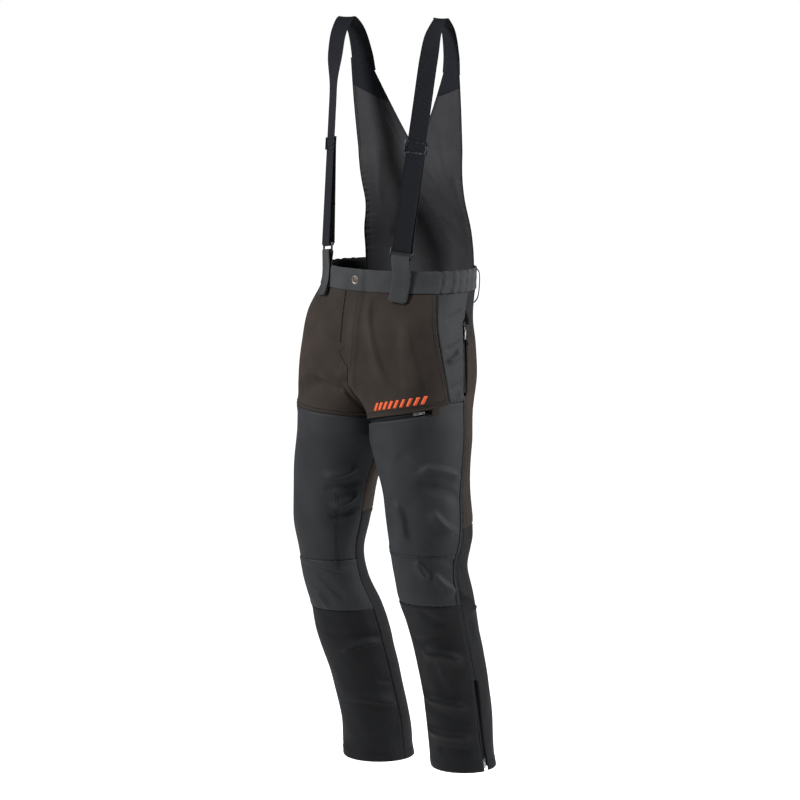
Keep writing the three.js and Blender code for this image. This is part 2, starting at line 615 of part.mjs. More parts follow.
straightZip('fly_zip', frontAt(WAISTBAND_HEIGHT + 16), frontAt(flyEnd - 20),
  below('left', 0, 130, -1).sub(frontAt(130)).normalize(), FLY_ZIP_SINK, 0.04, 18,
  { slider: METAL, pull: METAL });
add('fly_guard', panel('left', {
  from: (depth) => -FLAP_REACH / stride('left', 0, depth), to: fixed(0.06),
  top: fixed(WAISTBAND_HEIGHT + 4), bottom: fixed(flyEnd - 6), columns: 8, rows: 6,
  inward: (share) => mix(SEWN_EDGE, UNDER_FLY_ZIP, smooth(-0.055, -0.035, share)), thick: 1.2,
}), BLACK_NYLON);

// ---------- Bib back ----------
// A thin sheet that rises from the inside of the waistband's back and ends in two horns.
function bibPoint(x, z, back) {
  const wrapped = 122 * Math.sqrt(1 - (x / 176) ** 2);
  const lean = BIB_LEAN * Math.max(0, z - BIB_NECK) / (BIB_HEIGHT - BIB_NECK);
  const flat = 49 - 19 * (x / 146) ** 2 - lean;
  return new THREE.Vector3(x, mix(wrapped, flat, smooth(-20, BIB_NECK, z)) + back, z);
}
const bibOuter = (z) => BIB_HALF_WIDTH + 12 * smooth(0, BIB_HEIGHT, z);
const bibInner = (z) => Math.max(0, (bibOuter(BIB_HEIGHT) - WEB_WIDTH)
  * ((z - BIB_NECK) / (BIB_HEIGHT - BIB_NECK)) ** 0.85 || 0);
const bibRows = [-30, 30, 90, 150, 200, BIB_NECK, 270, 310, 350, 390, BIB_HEIGHT];
const bibHalf = (sign) => layer(8, bibRows.length - 1, (i, j) => {
  const z = bibRows[Math.round(j * (bibRows.length - 1))];
  const x = sign * mix(z > BIB_NECK ? bibInner(z) : -2, bibOuter(z), i);
  return [bibPoint(x, z, 0), bibPoint(x, z, -BIB_THICK)];
});
add('bib_back', join(bibHalf(1), bibHalf(-1)), DARK_NYLON);

// ---------- Braces ----------
for (const [name, side] of Object.entries(SIDES)) {
  const place = (x, y, z) => new THREE.Vector3(side.sign * x, y, z);
  const webBottom = place(...WEB_LOW);
  const webTop = place(...WEB_HIGH);
  const along = webTop.clone().sub(webBottom).normalize();
  const facing = place(Math.sin(WEB_YAW), -Math.cos(WEB_YAW), 0);
  facing.addScaledVector(along, -facing.dot(along)).normalize();
  const across = along.clone().cross(facing);
  const turn = new THREE.Quaternion()
    .setFromRotationMatrix(new THREE.Matrix4().makeBasis(across, along, facing));
  // Points beside the straight run: `up` along it, `out` in front of it.
  const beside = (up, out) => webBottom.clone().addScaledVector(along, up)
    .addScaledVector(facing, out);
  // Half a turn from behind to in front of a bar, over it (1) or under it (-1).
  const roundBar = (up, out, radius, over) => Array.from({ length: 7 }, (_, k) => {
    const angle = Math.PI * (1 - k / 6);
    return beside(up + over * radius * Math.sin(angle), out + radius * Math.cos(angle));
  });

  // The webbing: round the ring's top bar, up the front, over the shoulder, down to the horn.
  const loop = RING_BAR / 2 + LOOP_PLAY + WEB / 2;
  const underRing = roundBar(0, -loop, loop, -1);
  const straight = [1, 2, 3].map((k) => webBottom.clone().lerp(webTop, k / 4));
  const arch = new THREE.CatmullRomCurve3([straight[2], webTop,
    ...WEB_ARCH.map(([x, y, z]) => place(x, y, z))], false, 'centripetal').getPoints(22).slice(1);
  const route = [...underRing, ...straight, ...arch];
  const archStart = underRing.length + straight.length;
  const sideways = new THREE.Vector3(1, -side.sign * 0.235, 0);
  const width = (i) => across.clone().lerp(sideways, smooth(archStart + 3, archStart + 10, i));
  add(`brace_webbing_${name}`, strip(route, WEB_WIDTH, WEB, width), WEBBING);

  // Behind the front run the webbing goes back up to the adjuster's middle bar.
  const barBack = -WEB / 2 - CLEARANCE - ADJUSTER_THICK / 2;
  const returnEnd = ADJUSTER_UP - ADJUSTER_BAR / 2 - CLEARANCE;
  add(`brace_return_${name}`, strip([beside(CLEARANCE, -2 * loop), beside(returnEnd, barBack - 0.4)],
    WEB_WIDTH, WEB, () => across), WEBBING);

  // Adjuster: two bars in front of the webbing, one behind it, joined at the sides.
  const inside = WEB_WIDTH + 2;
  const barFront = WEB / 2 + CLEARANCE + ADJUSTER_THICK / 2;
  const barY = (ADJUSTER_HEIGHT - ADJUSTER_BAR) / 2;
  const depth = barFront - barBack + ADJUSTER_THICK;
  const adjuster = add(`adjuster_${name}`, join(
    ...[-1, 1].map((end) => block(inside + 2, ADJUSTER_BAR, ADJUSTER_THICK, 0, end * barY,
      barFront)),
    block(inside + 2, ADJUSTER_BAR, ADJUSTER_THICK, 0, 0, barBack),
    ...[-1, 1].map((end) => block(ADJUSTER_SIDE, ADJUSTER_HEIGHT, depth,
      end * (inside + ADJUSTER_SIDE) / 2, 0, 0)),
  ), PLASTIC);
  adjuster.position.copy(beside(ADJUSTER_UP, 0));
  adjuster.quaternion.copy(turn);

  // Ring: its lower bar, where the tab holds it, lies on its own origin.
  const barSpan = RING_HEIGHT - RING_BAR;
  const ring = add(`ring_${name}`, cut(
    block(RING_WIDTH, RING_HEIGHT, RING_BAR, 0, barSpan / 2, 0),
    block(RING_WIDTH - 2 * RING_BAR, RING_HEIGHT - 2 * RING_BAR, 2 * RING_BAR, 0, barSpan / 2, 0),
  ), PLASTIC);
  ring.position.copy(beside(-barSpan, -loop));
  ring.quaternion.copy(turn);

  // Tab: a strip folded over the ring's lower bar, both ends sewn to the waistband and front.
  const bend = RING_BAR / 2 + TAB_PLAY + TAB_CLOTH / 2;
  const onFront = (at, layers) => below(name, TAB_SHARE, at,
    -2.4 - TAB_CLOTH / 2 - layers * (TAB_CLOTH + CLEARANCE));
  const tabDepths = [TAB_END, TAB_END / 2, 6];
  add(`front_tab_${name}`, strip([
    ...tabDepths.map((at) => onFront(at, 0)),
    ...roundBar(-barSpan, -loop, bend, 1),
    ...tabDepths.toReversed().map((at) => onFront(at, 1)),
  ], TAB_WIDTH, TAB_CLOTH, () => across), BAND_CLOTH);

  // Belt loop at the side.
  const loopLine = [[3, 1.6], [10, 7], [LOOP_END / 2, 9], [LOOP_END - 10, 7], [LOOP_END, 1.8]]
    .map(([at, out]) => below(name, LOOP_SHARE, at, -out));
  const loopWidth = surface(name, LOOP_SHARE + 0.01, 40).sub(surface(name, LOOP_SHARE, 40));
  add(`belt_loop_${name}`, strip(loopLine, LOOP_WIDTH, WEB, () => loopWidth), WEBBING);
}

export default garment;
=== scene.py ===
import math
from functools import lru_cache

import bmesh
import bpy
from mathutils import Matrix, Vector, noise


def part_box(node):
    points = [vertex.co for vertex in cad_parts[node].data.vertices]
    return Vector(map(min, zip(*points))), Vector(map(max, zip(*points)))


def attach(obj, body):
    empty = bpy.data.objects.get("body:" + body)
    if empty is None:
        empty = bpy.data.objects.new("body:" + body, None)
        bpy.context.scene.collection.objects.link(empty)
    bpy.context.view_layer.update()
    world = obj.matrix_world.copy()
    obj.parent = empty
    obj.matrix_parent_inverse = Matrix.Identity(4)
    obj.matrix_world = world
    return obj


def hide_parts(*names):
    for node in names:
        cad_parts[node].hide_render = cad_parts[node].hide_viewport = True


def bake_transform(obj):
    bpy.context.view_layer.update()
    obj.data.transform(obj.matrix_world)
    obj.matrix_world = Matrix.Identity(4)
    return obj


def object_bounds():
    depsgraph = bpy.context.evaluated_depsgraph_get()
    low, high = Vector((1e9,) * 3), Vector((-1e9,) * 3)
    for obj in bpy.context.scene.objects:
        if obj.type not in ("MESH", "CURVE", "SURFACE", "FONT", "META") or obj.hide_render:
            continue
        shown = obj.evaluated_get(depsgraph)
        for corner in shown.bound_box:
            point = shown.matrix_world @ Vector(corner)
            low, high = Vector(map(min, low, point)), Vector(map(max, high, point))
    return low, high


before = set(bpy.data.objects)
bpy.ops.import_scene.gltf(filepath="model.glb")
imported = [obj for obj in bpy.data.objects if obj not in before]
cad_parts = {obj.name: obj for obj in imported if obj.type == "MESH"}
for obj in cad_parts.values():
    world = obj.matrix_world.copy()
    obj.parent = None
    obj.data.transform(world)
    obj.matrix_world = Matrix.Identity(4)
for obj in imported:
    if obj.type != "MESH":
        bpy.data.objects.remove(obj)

cad_box = [list(corner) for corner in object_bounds()]
TAU = 2 * math.pi
MM = 0.001

# ---------- Camera, light and floor ----------
scene = bpy.context.scene
scene.view_settings.view_transform = "Standard"
AZIMUTH = math.radians(43)
DISTANCE = 6.5
AIM = Vector((0, 0, -0.287))


def camera():
    data = bpy.data.cameras.new("camera")
    data.lens = 140
    data.sensor_width = 36
    eye = bpy.data.objects.new("camera", data)
    scene.collection.objects.link(eye)
    eye.location = (DISTANCE * math.sin(AZIMUTH), -DISTANCE * math.cos(AZIMUTH), 0.65)
    eye.rotation_euler = (AIM - eye.location).to_track_quat("-Z", "Y").to_euler()
    scene.camera = eye


def area_light(name, place, aim, size, power):
    data = bpy.data.lights.new(name, "AREA")
    data.shape = "RECTANGLE"
    data.size, data.size_y = size
    data.energy = power
    lamp = bpy.data.objects.new(name, data)
    scene.collection.objects.link(lamp)
    lamp.location = place
    lamp.rotation_euler = (Vector(aim) - Vector(place)).to_track_quat("-Z", "Y").to_euler()


def studio():
    # Directions seen from the camera: right and towards the eye.
    right = Vector((math.cos(AZIMUTH), math.sin(AZIMUTH), 0))
    near = Vector((math.sin(AZIMUTH), -math.cos(AZIMUTH), 0))
    middle = Vector((0, 0, -0.3))
    area_light("key", middle + near * 0.9 - right * 2.4 + Vector((0, 0, 1.5)), middle, (0.6, 1.4), 96)
    area_light("fill", middle + near * 0.45 + right * 2.5 + Vector((0, 0, 1.0)), middle, (0.6, 1.8), 84)
    area_light("back", middle - near * 2.0 + right * 1.2 + Vector((0, 0, 1.6)), middle, (1.6, 1.6), 30)
    world = bpy.data.worlds.new("studio")
    world.use_nodes = True
    nodes, links = world.node_tree.nodes, world.node_tree.links
    paper = nodes["Background"]
    paper.inputs["Color"].default_value = (1, 1, 1, 1)
    seen = nodes.new("ShaderNodeLightPath")
    strength = nodes.new("ShaderNodeMapRange")
    strength.inputs["To Min"].default_value = 0.16
    strength.inputs["To Max"].default_value = 1
    links.new(seen.outputs["Is Camera Ray"], strength.inputs["Value"])
    links.new(strength.outputs["Result"], paper.inputs["Strength"])
    scene.world = world
    bm = bmesh.new()
    bmesh.ops.create_grid(bm, x_segments=2, y_segments=2, size=40)
    bmesh.ops.translate(bm, verts=bm.verts, vec=(0, 0, cad_box[0][2] - 0.45))
    n = Nodes("floor_paper")
    ray = n.new("LightPath").outputs["Is Camera Ray"]
    n.link(n.new("MapRange", {"Value": ray, "To Min": 0.05, "To Max": 0.95}).outputs[0],
           "Emission Strength")
    n.set(Base_Color=(0.85, 0.85, 0.85, 1), Roughness=0.95, Emission_Color=(1, 1, 1, 1))
    floor = piece_from(bm, "floor", [n.material])


# ---------- Materials ----------
def linear(rgb):
    return tuple(((c / 255 + 0.055) / 1.055) ** 2.4 if c > 10 else c / 255 / 12.92 for c in rgb)


class Nodes:
    """A few words for building a material's node tree."""

    def __init__(self, name):
        self.material = bpy.data.materials.new(name)
        self.material.use_nodes = True
        self.tree = self.material.node_tree
        self.shader = self.tree.nodes["Principled BSDF"]

    def new(self, kind, inputs=(), **settings):
        node = self.tree.nodes.new("ShaderNode" + kind)
        for key, value in settings.items():
            setattr(node, key, value)
        for key, value in dict(inputs).items():
            if isinstance(value, bpy.types.NodeSocket):
                self.tree.links.new(value, node.inputs[key])
            else:
                node.inputs[key].default_value = value
        return node

    def link(self, output, key):
        self.tree.links.new(output, self.shader.inputs[key])

    def set(self, **values):
        for key, value in values.items():
            self.shader.inputs[key.replace("_", " ")].default_value = value

    def math(self, operation, a, b=0.0):
        return self.new("Math", {0: a, 1: b}, operation=operation).outputs[0]

    def ramp(self, factor, low, high, from_min=0.3, from_max=0.7):
        spread = self.new("MapRange", {"Value": factor, "From Min": from_min, "From Max": from_max})
        mixed = self.new("Mix", {"Factor": spread.outputs[0]}, data_type="RGBA")
        mixed.inputs["A"].default_value = (*linear(low), 1)
        mixed.inputs["B"].default_value = (*linear(high), 1)
        return mixed.outputs["Result"]

    def bump(self, height, strength, distance, under=None):
        inputs = {"Height": height, "Strength": strength, "Distance": distance}
        if under is not None:
            inputs["Normal"] = under
        return self.new("Bump", inputs).outputs[0]


def cloth(name, rgb, spread=0.18, weave=0.0011, rough=0.8, sheen=0.25, relief=0.35,
          sheen_rgb=(150, 150, 155), specular=0.3):
    """Woven fabric: threads over and under each other, slight cloudiness, a little fuzz."""
    n = Nodes(name)
    at = n.new("TexCoord").outputs["UV"]
    solid = n.new("TexCoord").outputs["Object"]
    scale = 0.314 / weave
    wave = {"Vector": at, "Scale": scale, "Distortion": 0.6, "Detail": 1.0,
            "Detail Scale": 0.6}
    warp = n.new("TexWave", wave, wave_type="BANDS", bands_direction="X").outputs["Fac"]
    weft = n.new("TexWave", wave, wave_type="BANDS", bands_direction="Y").outputs["Fac"]
    thread = n.math("MULTIPLY", warp, weft)
    cloud = n.new("TexNoise", {"Vector": solid, "Scale": 14.0, "Detail": 5.0, "Roughness": 0.6})
    slub = n.new("TexNoise", {"Vector": at, "Scale": 900.0, "Detail": 2.0})
    low = [c * (1 - spread) for c in rgb]
    high = [min(255, c * (1 + spread)) for c in rgb]
    shade = n.math("ADD", n.math("MULTIPLY", cloud.outputs[0], 0.6),
                   n.math("ADD", n.math("MULTIPLY", slub.outputs[0], 0.25),
                          n.math("MULTIPLY", thread, 0.3)))
    n.link(n.ramp(shade, low, high, 0.35, 0.75), "Base Color")
    uneven = n.new("MapRange", {"Value": cloud.outputs[0], "To Min": rough - 0.08,
                                "To Max": rough + 0.08})
    n.link(uneven.outputs[0], "Roughness")
    fine = n.bump(thread, relief, 0.00035)
    crumple = n.new("TexNoise", {"Vector": solid, "Scale": 90.0, "Detail": 4.0, "Roughness": 0.65})
    n.link(n.bump(crumple.outputs[0], 0.25, 0.0012, fine), "Normal")
    n.set(Sheen_Weight=sheen, Sheen_Roughness=0.5, Sheen_Tint=(*linear(sheen_rgb), 1),
          Specular_IOR_Level=specular)
    return n.material


def ribbed(name, rgb, pitch=0.0024, rough=0.7, sheen=0.06):
    """Webbing: rounded ribs along its length and fine picks across it."""
    n = Nodes(name)
    at = n.new("TexCoord").outputs["UV"]
    ribs = n.new("TexWave", {"Vector": at, "Scale": 0.314 / pitch}, wave_type="BANDS",
                 bands_direction="X").outputs["Fac"]
    picks = n.new("TexWave", {"Vector": at, "Scale": 0.314 / 0.0009, "Distortion": 0.4},
                  wave_type="BANDS", bands_direction="Y").outputs["Fac"]
    cloud = n.new("TexNoise", {"Vector": at, "Scale": 40.0, "Detail": 4.0}).outputs[0]
    shade = n.math("ADD", n.math("MULTIPLY", ribs, 0.5), n.math("MULTIPLY", cloud, 0.5))
    n.link(n.ramp(shade, [c * 0.75 for c in rgb], [c * 1.25 for c in rgb], 0.2, 0.8), "Base Color")
    fine = n.bump(picks, 0.3, 0.0003)
    n.link(n.bump(ribs, 0.7, 0.0006, fine), "Normal")
    n.set(Roughness=rough, Sheen_Weight=sheen, Sheen_Roughness=0.4, Specular_IOR_Level=0.15)
    return n.material


def metal(name, rgb, worn, rough=0.35, metallic=0.9):
    """Cast metal, rubbed lighter where the noise of use lies."""
    n = Nodes(name)
    at = n.new("TexCoord").outputs["Object"]
    cloud = n.new("TexNoise", {"Vector": at, "Scale": 180.0, "Detail": 5.0}).outputs[0]
    n.link(n.ramp(cloud, rgb, worn, 0.45, 0.75), "Base Color")
    uneven = n.new("MapRange", {"Value": cloud, "To Min": rough - 0.08, "To Max": rough + 0.12})
    n.link(uneven.outputs[0], "Roughness")
    n.link(n.bump(cloud, 0.15, 0.0002), "Normal")
    n.set(Metallic=metallic)
    return n.material


LOOKS = {
    "softshell": cloth("softshell", (52, 46, 42), weave=0.0009, rough=0.9, sheen=0.12, relief=0.2,
                       sheen_rgb=(150, 132, 120), specular=0.15),
    "dark_nylon": cloth("dark_nylon", (40, 42, 45), weave=0.0012, rough=0.66, sheen=0.06,
                        specular=0.25),
    "black_nylon": cloth("black_nylon", (18, 19, 22), weave=0.0012, rough=0.66, sheen=0.04,
                         specular=0.2),
    "bib_nylon": cloth("bib_nylon", (47, 47, 50), weave=0.0009, rough=0.62, sheen=0.08, specular=0.25),
    "band_cloth": cloth("band_cloth", (59, 60, 62), weave=0.0008, rough=0.8, sheen=0.1, relief=0.2,
                        specular=0.2),
    "elastic_webbing": ribbed("elastic_webbing", (17, 19, 26)),
    "zip_tape": ribbed("zip_tape", (24, 26, 33), pitch=0.0016),
    "mesh_lining": cloth("mesh_lining", (22, 23, 27), weave=0.0025, rough=0.9, relief=0.8),
    "pad_fibre": cloth("pad_fibre", (216, 211, 196), weave=0.0022, rough=0.95, relief=0.8),
    "thread_dark": ribbed("thread_dark", (26, 25, 25), pitch=0.0007),
    "thread_brown": ribbed("thread_brown", (84, 74, 66), pitch=0.0007),
    "dark_metal": metal("dark_metal", (40, 43, 48), (92, 94, 98), rough=0.4),
    "zip_pull": metal("zip_pull", (140, 141, 142), (200, 200, 200), metallic=0.5),
    "antique_metal": metal("antique_metal", (104, 100, 95), (168, 160, 150), rough=0.42, metallic=0.6),
    "copper": metal("antique_copper", (92, 70, 56), (140, 112, 90), rough=0.5, metallic=0.5),
    "teeth": metal("zip_teeth", (26, 28, 33), (60, 62, 66), rough=0.5, metallic=0.2),
    "orange_print": cloth("orange_print", (232, 96, 52), weave=0.001, rough=0.6, sheen=0.0,
                          relief=0.15, spread=0.06),
}


# ---------- The trousers' surface, in millimetres ----------
SIDES = {
    "left": dict(
        sign=1, yoke_outer=267, yoke_inner=322, knee_top=580, knee_bottom=690, hem=1068, zip_sink=7.8,
        girth=[(352, 106), (450, 91), (545, 89), (610, 79), (675, 79), (740, 74), (805, 72),
               (900, 72), (1000, 69), (1068, 68)]),
    "right": dict(
        sign=-1, yoke_outer=297, yoke_inner=315, knee_top=630, knee_bottom=742, hem=1088, zip_sink=9.2,
        girth=[(352, 106), (450, 91), (545, 83), (610, 70), (675, 70), (740, 76), (805, 80),
               (900, 76), (1000, 76), (1088, 77)]),
}
LEG_LINE = [(352, 107, -52), (450, 129, -60), (545, 141, -61), (610, 142, -62), (675, 144, -46),
            (740, 140, -18), (805, 139, 3), (900, 133, 33), (1000, 126, 56), (1088, 126, 68)]
HIP_LINE = [(0, 179, 0, 130, 130, 2), (45, 181, -8, 124, 136, 2.2), (100, 190, -30, 112, 150, 3),
            (160, 200, -40, 110, 165, 3), (225, 205, -45, 112, 172, 3), (352, 206, -52, 110, 175, 3)]
FRONT_PANEL_EDGE = [(0, 0.38), (150, 0.42), (300, 0.475)]
OUTSEAM = [(0, 0.545), (370, 0.535), (590, 0.495), (720, 0.47), (850, 0.47), (1088, 0.49)]
WAISTBAND_HEIGHT = 44
CROTCH = 353
RISE_BLEND = 215
FLAP_REACH = 28
FLAP_RISE = 3.4
FLY_END = WAISTBAND_HEIGHT + 190
YOKE_CORNER = 0.46
SIDE_STRIP_TOP = 112
SIDE_STRIP_BACK = 0.64
GUSSET_BACK = 0.9
BACK_SPLIT = 525
POCKET_ZIP = (105, 250)
LEG_ZIP_TOP = 868
LEG_ZIP_OPEN = 6
ZIP_SLOT = 12
THIGH_ZIP = (0.06, 0.4)
SHELL = 1.6
SHARE_WIDTH = 460       # about the width of one share on the thigh: folds and weave are laid out by it
FOLD_EASE = 16          # folds die away over this distance from a seam
HEM_TURN = 21           # height of the turned-up hem
HEM_RISE = 0.8
ZIP_WIDTH = 18
TOOTH = (2.4, 1.15, 1.3)
TOOTH_PITCH = 1.7
TOOTH_OFFSET = 0.75
PULL_CORD_REACH = 13
BAND_SHOWN = WAISTBAND_HEIGHT - 0.3
BAND_STEPS = 640


def mix(a, b, t):
    return a + (b - a) * t


def smooth(start, end, value):
    t = min(max((value - start) / (end - start), 0), 1)
    return t * t * t * (t * (6 * t - 15) + 10)


def station(rows, depth):
    last = len(rows) - 1
    at = min(max(depth, rows[0][0]), rows[last][0])
    i = 0
    while i < last - 1 and at > rows[i + 1][0]:
        i += 1
    a, b = rows[i], rows[i + 1]
    before, after = rows[max(i - 1, 0)], rows[min(i + 2, last)]
    span = b[0] - a[0]
    t = (at - a[0]) / span
    out = []
    for k in range(1, len(a)):
        slope_a = (b[k] - before[k]) / (b[0] - before[0]) * span
        slope_b = (after[k] - a[k]) / (after[0] - a[0]) * span
        out.append((2 * t ** 3 - 3 * t ** 2 + 1) * a[k] + (t ** 3 - 2 * t ** 2 + t) * slope_a
                   + (3 * t ** 2 - 2 * t ** 3) * b[k] + (t ** 3 - t ** 2) * slope_b)
    return out


@lru_cache(maxsize=None)
def section(side, depth):
    return (*station(HIP_LINE, depth), *station(LEG_LINE, depth),
            *station(SIDES[side]["girth"], depth), smooth(RISE_BLEND, CROTCH, depth))


def surface(side, share, depth):
    half, centre, front, back, square, leg_x, leg_y, girth, parted = section(side, depth)
    angle = math.pi * share
    s, c = math.sin(angle), math.cos(angle)
    reach, power = (front, square) if c > 0 else (back, 2)
    radius = (abs(s / half) ** power + abs(c / reach) ** power) ** (-1 / power)
    x = mix(radius * s, leg_x - girth * math.cos(2 * angle), parted)
    y = mix(centre - radius * c, leg_y - girth * math.sin(2 * angle), parted)
    return Vector((SIDES[side]["sign"] * x, y, -depth))


def stride(side, share, depth):
    step = 0.004
    return (surface(side, share + step, depth) - surface(side, share, depth)).length / step


def normal_at(side, share, depth):
    step = 0.004
    across = surface(side, share + step, depth) - surface(side, share - step, depth)
    up = surface(side, share, max(depth - 2, 0)) - surface(side, share, depth + 2)
    return across.cross(up).normalized() * SIDES[side]["sign"]


def above(side, share, depth, out=0.0):
    """A point `out` millimetres outside the surface."""
    return surface(side, share, depth) + normal_at(side, share, depth) * out


def outseam(side, depth):
    end = SIDES[side]["hem"] - LEG_ZIP_OPEN
    if depth <= LEG_ZIP_TOP:
        return station(OUTSEAM, depth)[0]
    at = min(depth, end)
    y_at = [surface(side, station(OUTSEAM, d)[0], d).y for d in (LEG_ZIP_TOP, end)]
    y = mix(*y_at, (at - LEG_ZIP_TOP) / (end - LEG_ZIP_TOP))
    leg_y = station(LEG_LINE, at)[1]
    girth = station(SIDES[side]["girth"], at)[0]
    return 0.5 - math.asin((leg_y - y) / girth) / TAU


def front_edge(depth):
    return station(FRONT_PANEL_EDGE, depth)[0]


def hip_seam(depth):
    return station(OUTSEAM, depth)[0]


def zip_slot(side, depth):
    def within(top, bottom):
        return smooth(top - 8, top - 2, depth) * smooth(bottom + 8, bottom + 2, depth)
    opened = within(*POCKET_ZIP) + within(LEG_ZIP_TOP, SIDES[side]["hem"] + 9)
    return opened * ZIP_SLOT / 2 / stride(side, outseam(side, depth), depth)


def strip_back(depth):
    return mix(hip_seam(depth) + 0.035, SIDE_STRIP_BACK,
               smooth(SIDE_STRIP_TOP, SIDE_STRIP_TOP + 60, depth))


def seat_front(depth):
    return mix(hip_seam(depth), strip_back(depth),
               smooth(SIDE_STRIP_TOP - 34, SIDE_STRIP_TOP - 2, depth))


def gusset_front(depth):
    return mix(0.97, GUSSET_BACK, smooth(CROTCH, CROTCH + 60, depth))


def seat_back(depth):
    return mix(1, gusset_front(depth), smooth(CROTCH - 34, CROTCH - 2, depth))


def lap_edge(depth):
    curve = math.sqrt(1 - smooth(FLY_END - 80, FLY_END - 30, depth) ** 2)
    return -FLAP_REACH * curve / stride("right", 0.03, depth)


def lap_rise(share):
    return FLAP_RISE * smooth(0.075, 0.03, share)


def yoke_seam(side, share):
    data = SIDES[side]
    return mix(data["yoke_inner"], data["yoke_outer"], min(max(share / YOKE_CORNER, 0), 1))


def zip_drop(side, share):
    if side == "right":
        return 0
    return (ZIP_SLOT * smooth(THIGH_ZIP[0] - 0.02, THIGH_ZIP[0], share)
            * smooth(THIGH_ZIP[1] + 0.02, THIGH_ZIP[1], share))


# ---------- Making pieces ----------
def piece_from(bm, name, looks, body=None, nodes=(), slot=None, smooth_faces=True):
    mesh = bpy.data.meshes.new(name)
    for face in bm.faces:
        face.smooth = smooth_faces
    bm.to_mesh(mesh)
    bm.free()
    obj = bpy.data.objects.new(name, mesh)
    scene.collection.objects.link(obj)
    for look in looks:
        mesh.materials.append(look)
    if body:
        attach(obj, body)
        if nodes:
            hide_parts(*nodes)
    return obj


def thicken(obj, thick, offset=-1):
    wall = obj.modifiers.new("wall", "SOLIDIFY")
    wall.thickness = thick
    wall.offset = offset
    wall.use_even_offset = False
    return obj


def spaced(length, step, edges=(0.6, 1.5, 2.8, 4.6)):
    """Fractions along a length: close together near both ends, `step` apart between them."""
    near = [e for e in edges if e < length / 3]
    inner = length - 2 * (near[-1] if near else 0)
    count = max(2, round(inner / step))
    start = near[-1] if near else 0
    marks = [0, *near[:-1]] + [start + inner * k / count for k in range(count + 1)]
    marks += [length - e for e in reversed(near[:-1])] + [length]
    return [m / length for m in marks] if near else [k / count for k in range(count + 1)]


def grid_piece(across, down, place, uv_at, facing):
    """A sheet of quads. `place(i, j)` gives metres for two fractions; it faces along `facing`."""
    bm = bmesh.new()
    columns, rows = len(across) - 1, len(down) - 1
    bmesh.ops.create_grid(bm, x_segments=columns, y_segments=rows, size=1)
    bm.verts.ensure_lookup_table()
    uv = bm.loops.layers.uv.verify()
    keep = {}
    for vert in bm.verts:
        i = across[round((vert.co.x + 1) / 2 * columns)]
        j = down[round((1 - vert.co.y) / 2 * rows)]
        keep[vert.index] = uv_at(i, j)
        vert.co = place(i, j)
    for face in bm.faces:
        for loop in face.loops:
            loop[uv].uv = keep[loop.vert.index]
    bm.normal_update()
    bm.faces.ensure_lookup_table()
    middle = bm.faces[len(bm.faces) // 2]
    if middle.normal.dot(facing(middle.calc_center_median())) < 0:
        bmesh.ops.reverse_faces(bm, faces=bm.faces)
    return bm


# ---------- Folds ----------
# Each fold: share and depth of its two ends, half width and height in millimetres.
FOLDS = {
    "left": [
        ((0.11, 60), (0.23, 220), 12, 2.2),
        ((0.27, 115), (0.31, 245), 12, -2),
        ((0.33, 95), (0.36, 235), 14, 2.2),
        ((0.36, 390), (0.51, 420), 10, 3),
        ((0.36, 425), (0.5, 460), 9, -3.5),
        ((0.3, 370), (0.37, 400), 12, -2.5),
        ((0.24, 470), (0.29, 545), 14, 2.5),
        ((0.38, 490), (0.48, 530), 12, 3),
        ((0.31, 590), (0.37, 625), 9, 3),
        ((0.43, 580), (0.53, 610), 7, -3.5),
        ((0.38, 620), (0.48, 655), 12, 3),
        ((0.3, 695), (0.38, 730), 9, -3),
        ((0.19, 770), (0.36, 760), 8, -4.5),
        ((0.25, 785), (0.42, 810), 14, 4),
        ((0.27, 815), (0.34, 880), 12, -2.5),
        ((0.13, 910), (0.4, 950), 8, -4.5),
        ((0.18, 890), (0.41, 920), 10, 3.5),
        ((0.18, 970), (0.41, 990), 10, 3),
        ((0.25, 1010), (0.4, 1020), 9, -2.5),
        ((0.45, 155), (0.52, 140), 5, -3),
        ((0.45, 180), (0.51, 160), 6, 3),
        ((0.46, 240), (0.52, 220), 5, -3),
        ((0.45, 265), (0.52, 245), 6, 2.5),
        ((0.45, 95), (0.51, 80), 5, -2.5),
        ((0.51, 660), (0.56, 710), 8, 3.5),
        ((0.5, 725), (0.53, 775), 8, -3.5),
        ((0.55, 535), (0.6, 570), 8, -3),
    ],
    "right": [
        ((0.3, 252), (0.21, 231), 10, 1.8), ((0.22, 231), (0.07, 236), 10, 2.4),
        ((0.08, 236), (0.04, 300), 8, 2),
        ((0.37, 280), (0.21, 245), 6, -3),
        ((0.21, 245), (0.05, 250), 7, -3.5),
        ((0.05, 250), (0.04, 310), 7, -4),
        ((0.34, 250), (0.2, 220), 9, 3),
        ((0.2, 220), (0.0, 230), 9, 3),
        ((0.16, 470), (0.03, 460), 7, -3),
        ((0.13, 535), (0.02, 515), 6, -3.5),
        ((0.17, 445), (0.06, 430), 9, 2.5),
        ((0.13, 510), (0.03, 490), 8, 2.5),
        ((0.3, 635), (0.07, 650), 10, 2.5),
        ((0.22, 665), (0.12, 720), 9, -3),
        ((0.26, 700), (0.21, 745), 8, 2.5),
        ((0.24, 800), (0.0, 810), 8, -4),
        ((0.19, 835), (0.02, 815), 8, 3.5),
        ((0.07, 910), (-0.01, 910), 6, -3),
        ((0.22, 950), (-0.01, 955), 14, 3),
        ((0.32, 1060), (0.02, 1030), 12, -2.5),
        ((0.25, 130), (0.04, 170), 14, 2.5),
        ((0.27, 180), (0.07, 200), 14, -2.5),
    ],
}


FOLD_RELIEF = 2.9
FOLD_FLOOR = 1.6        # folds sink this far freely, then up to twice as far


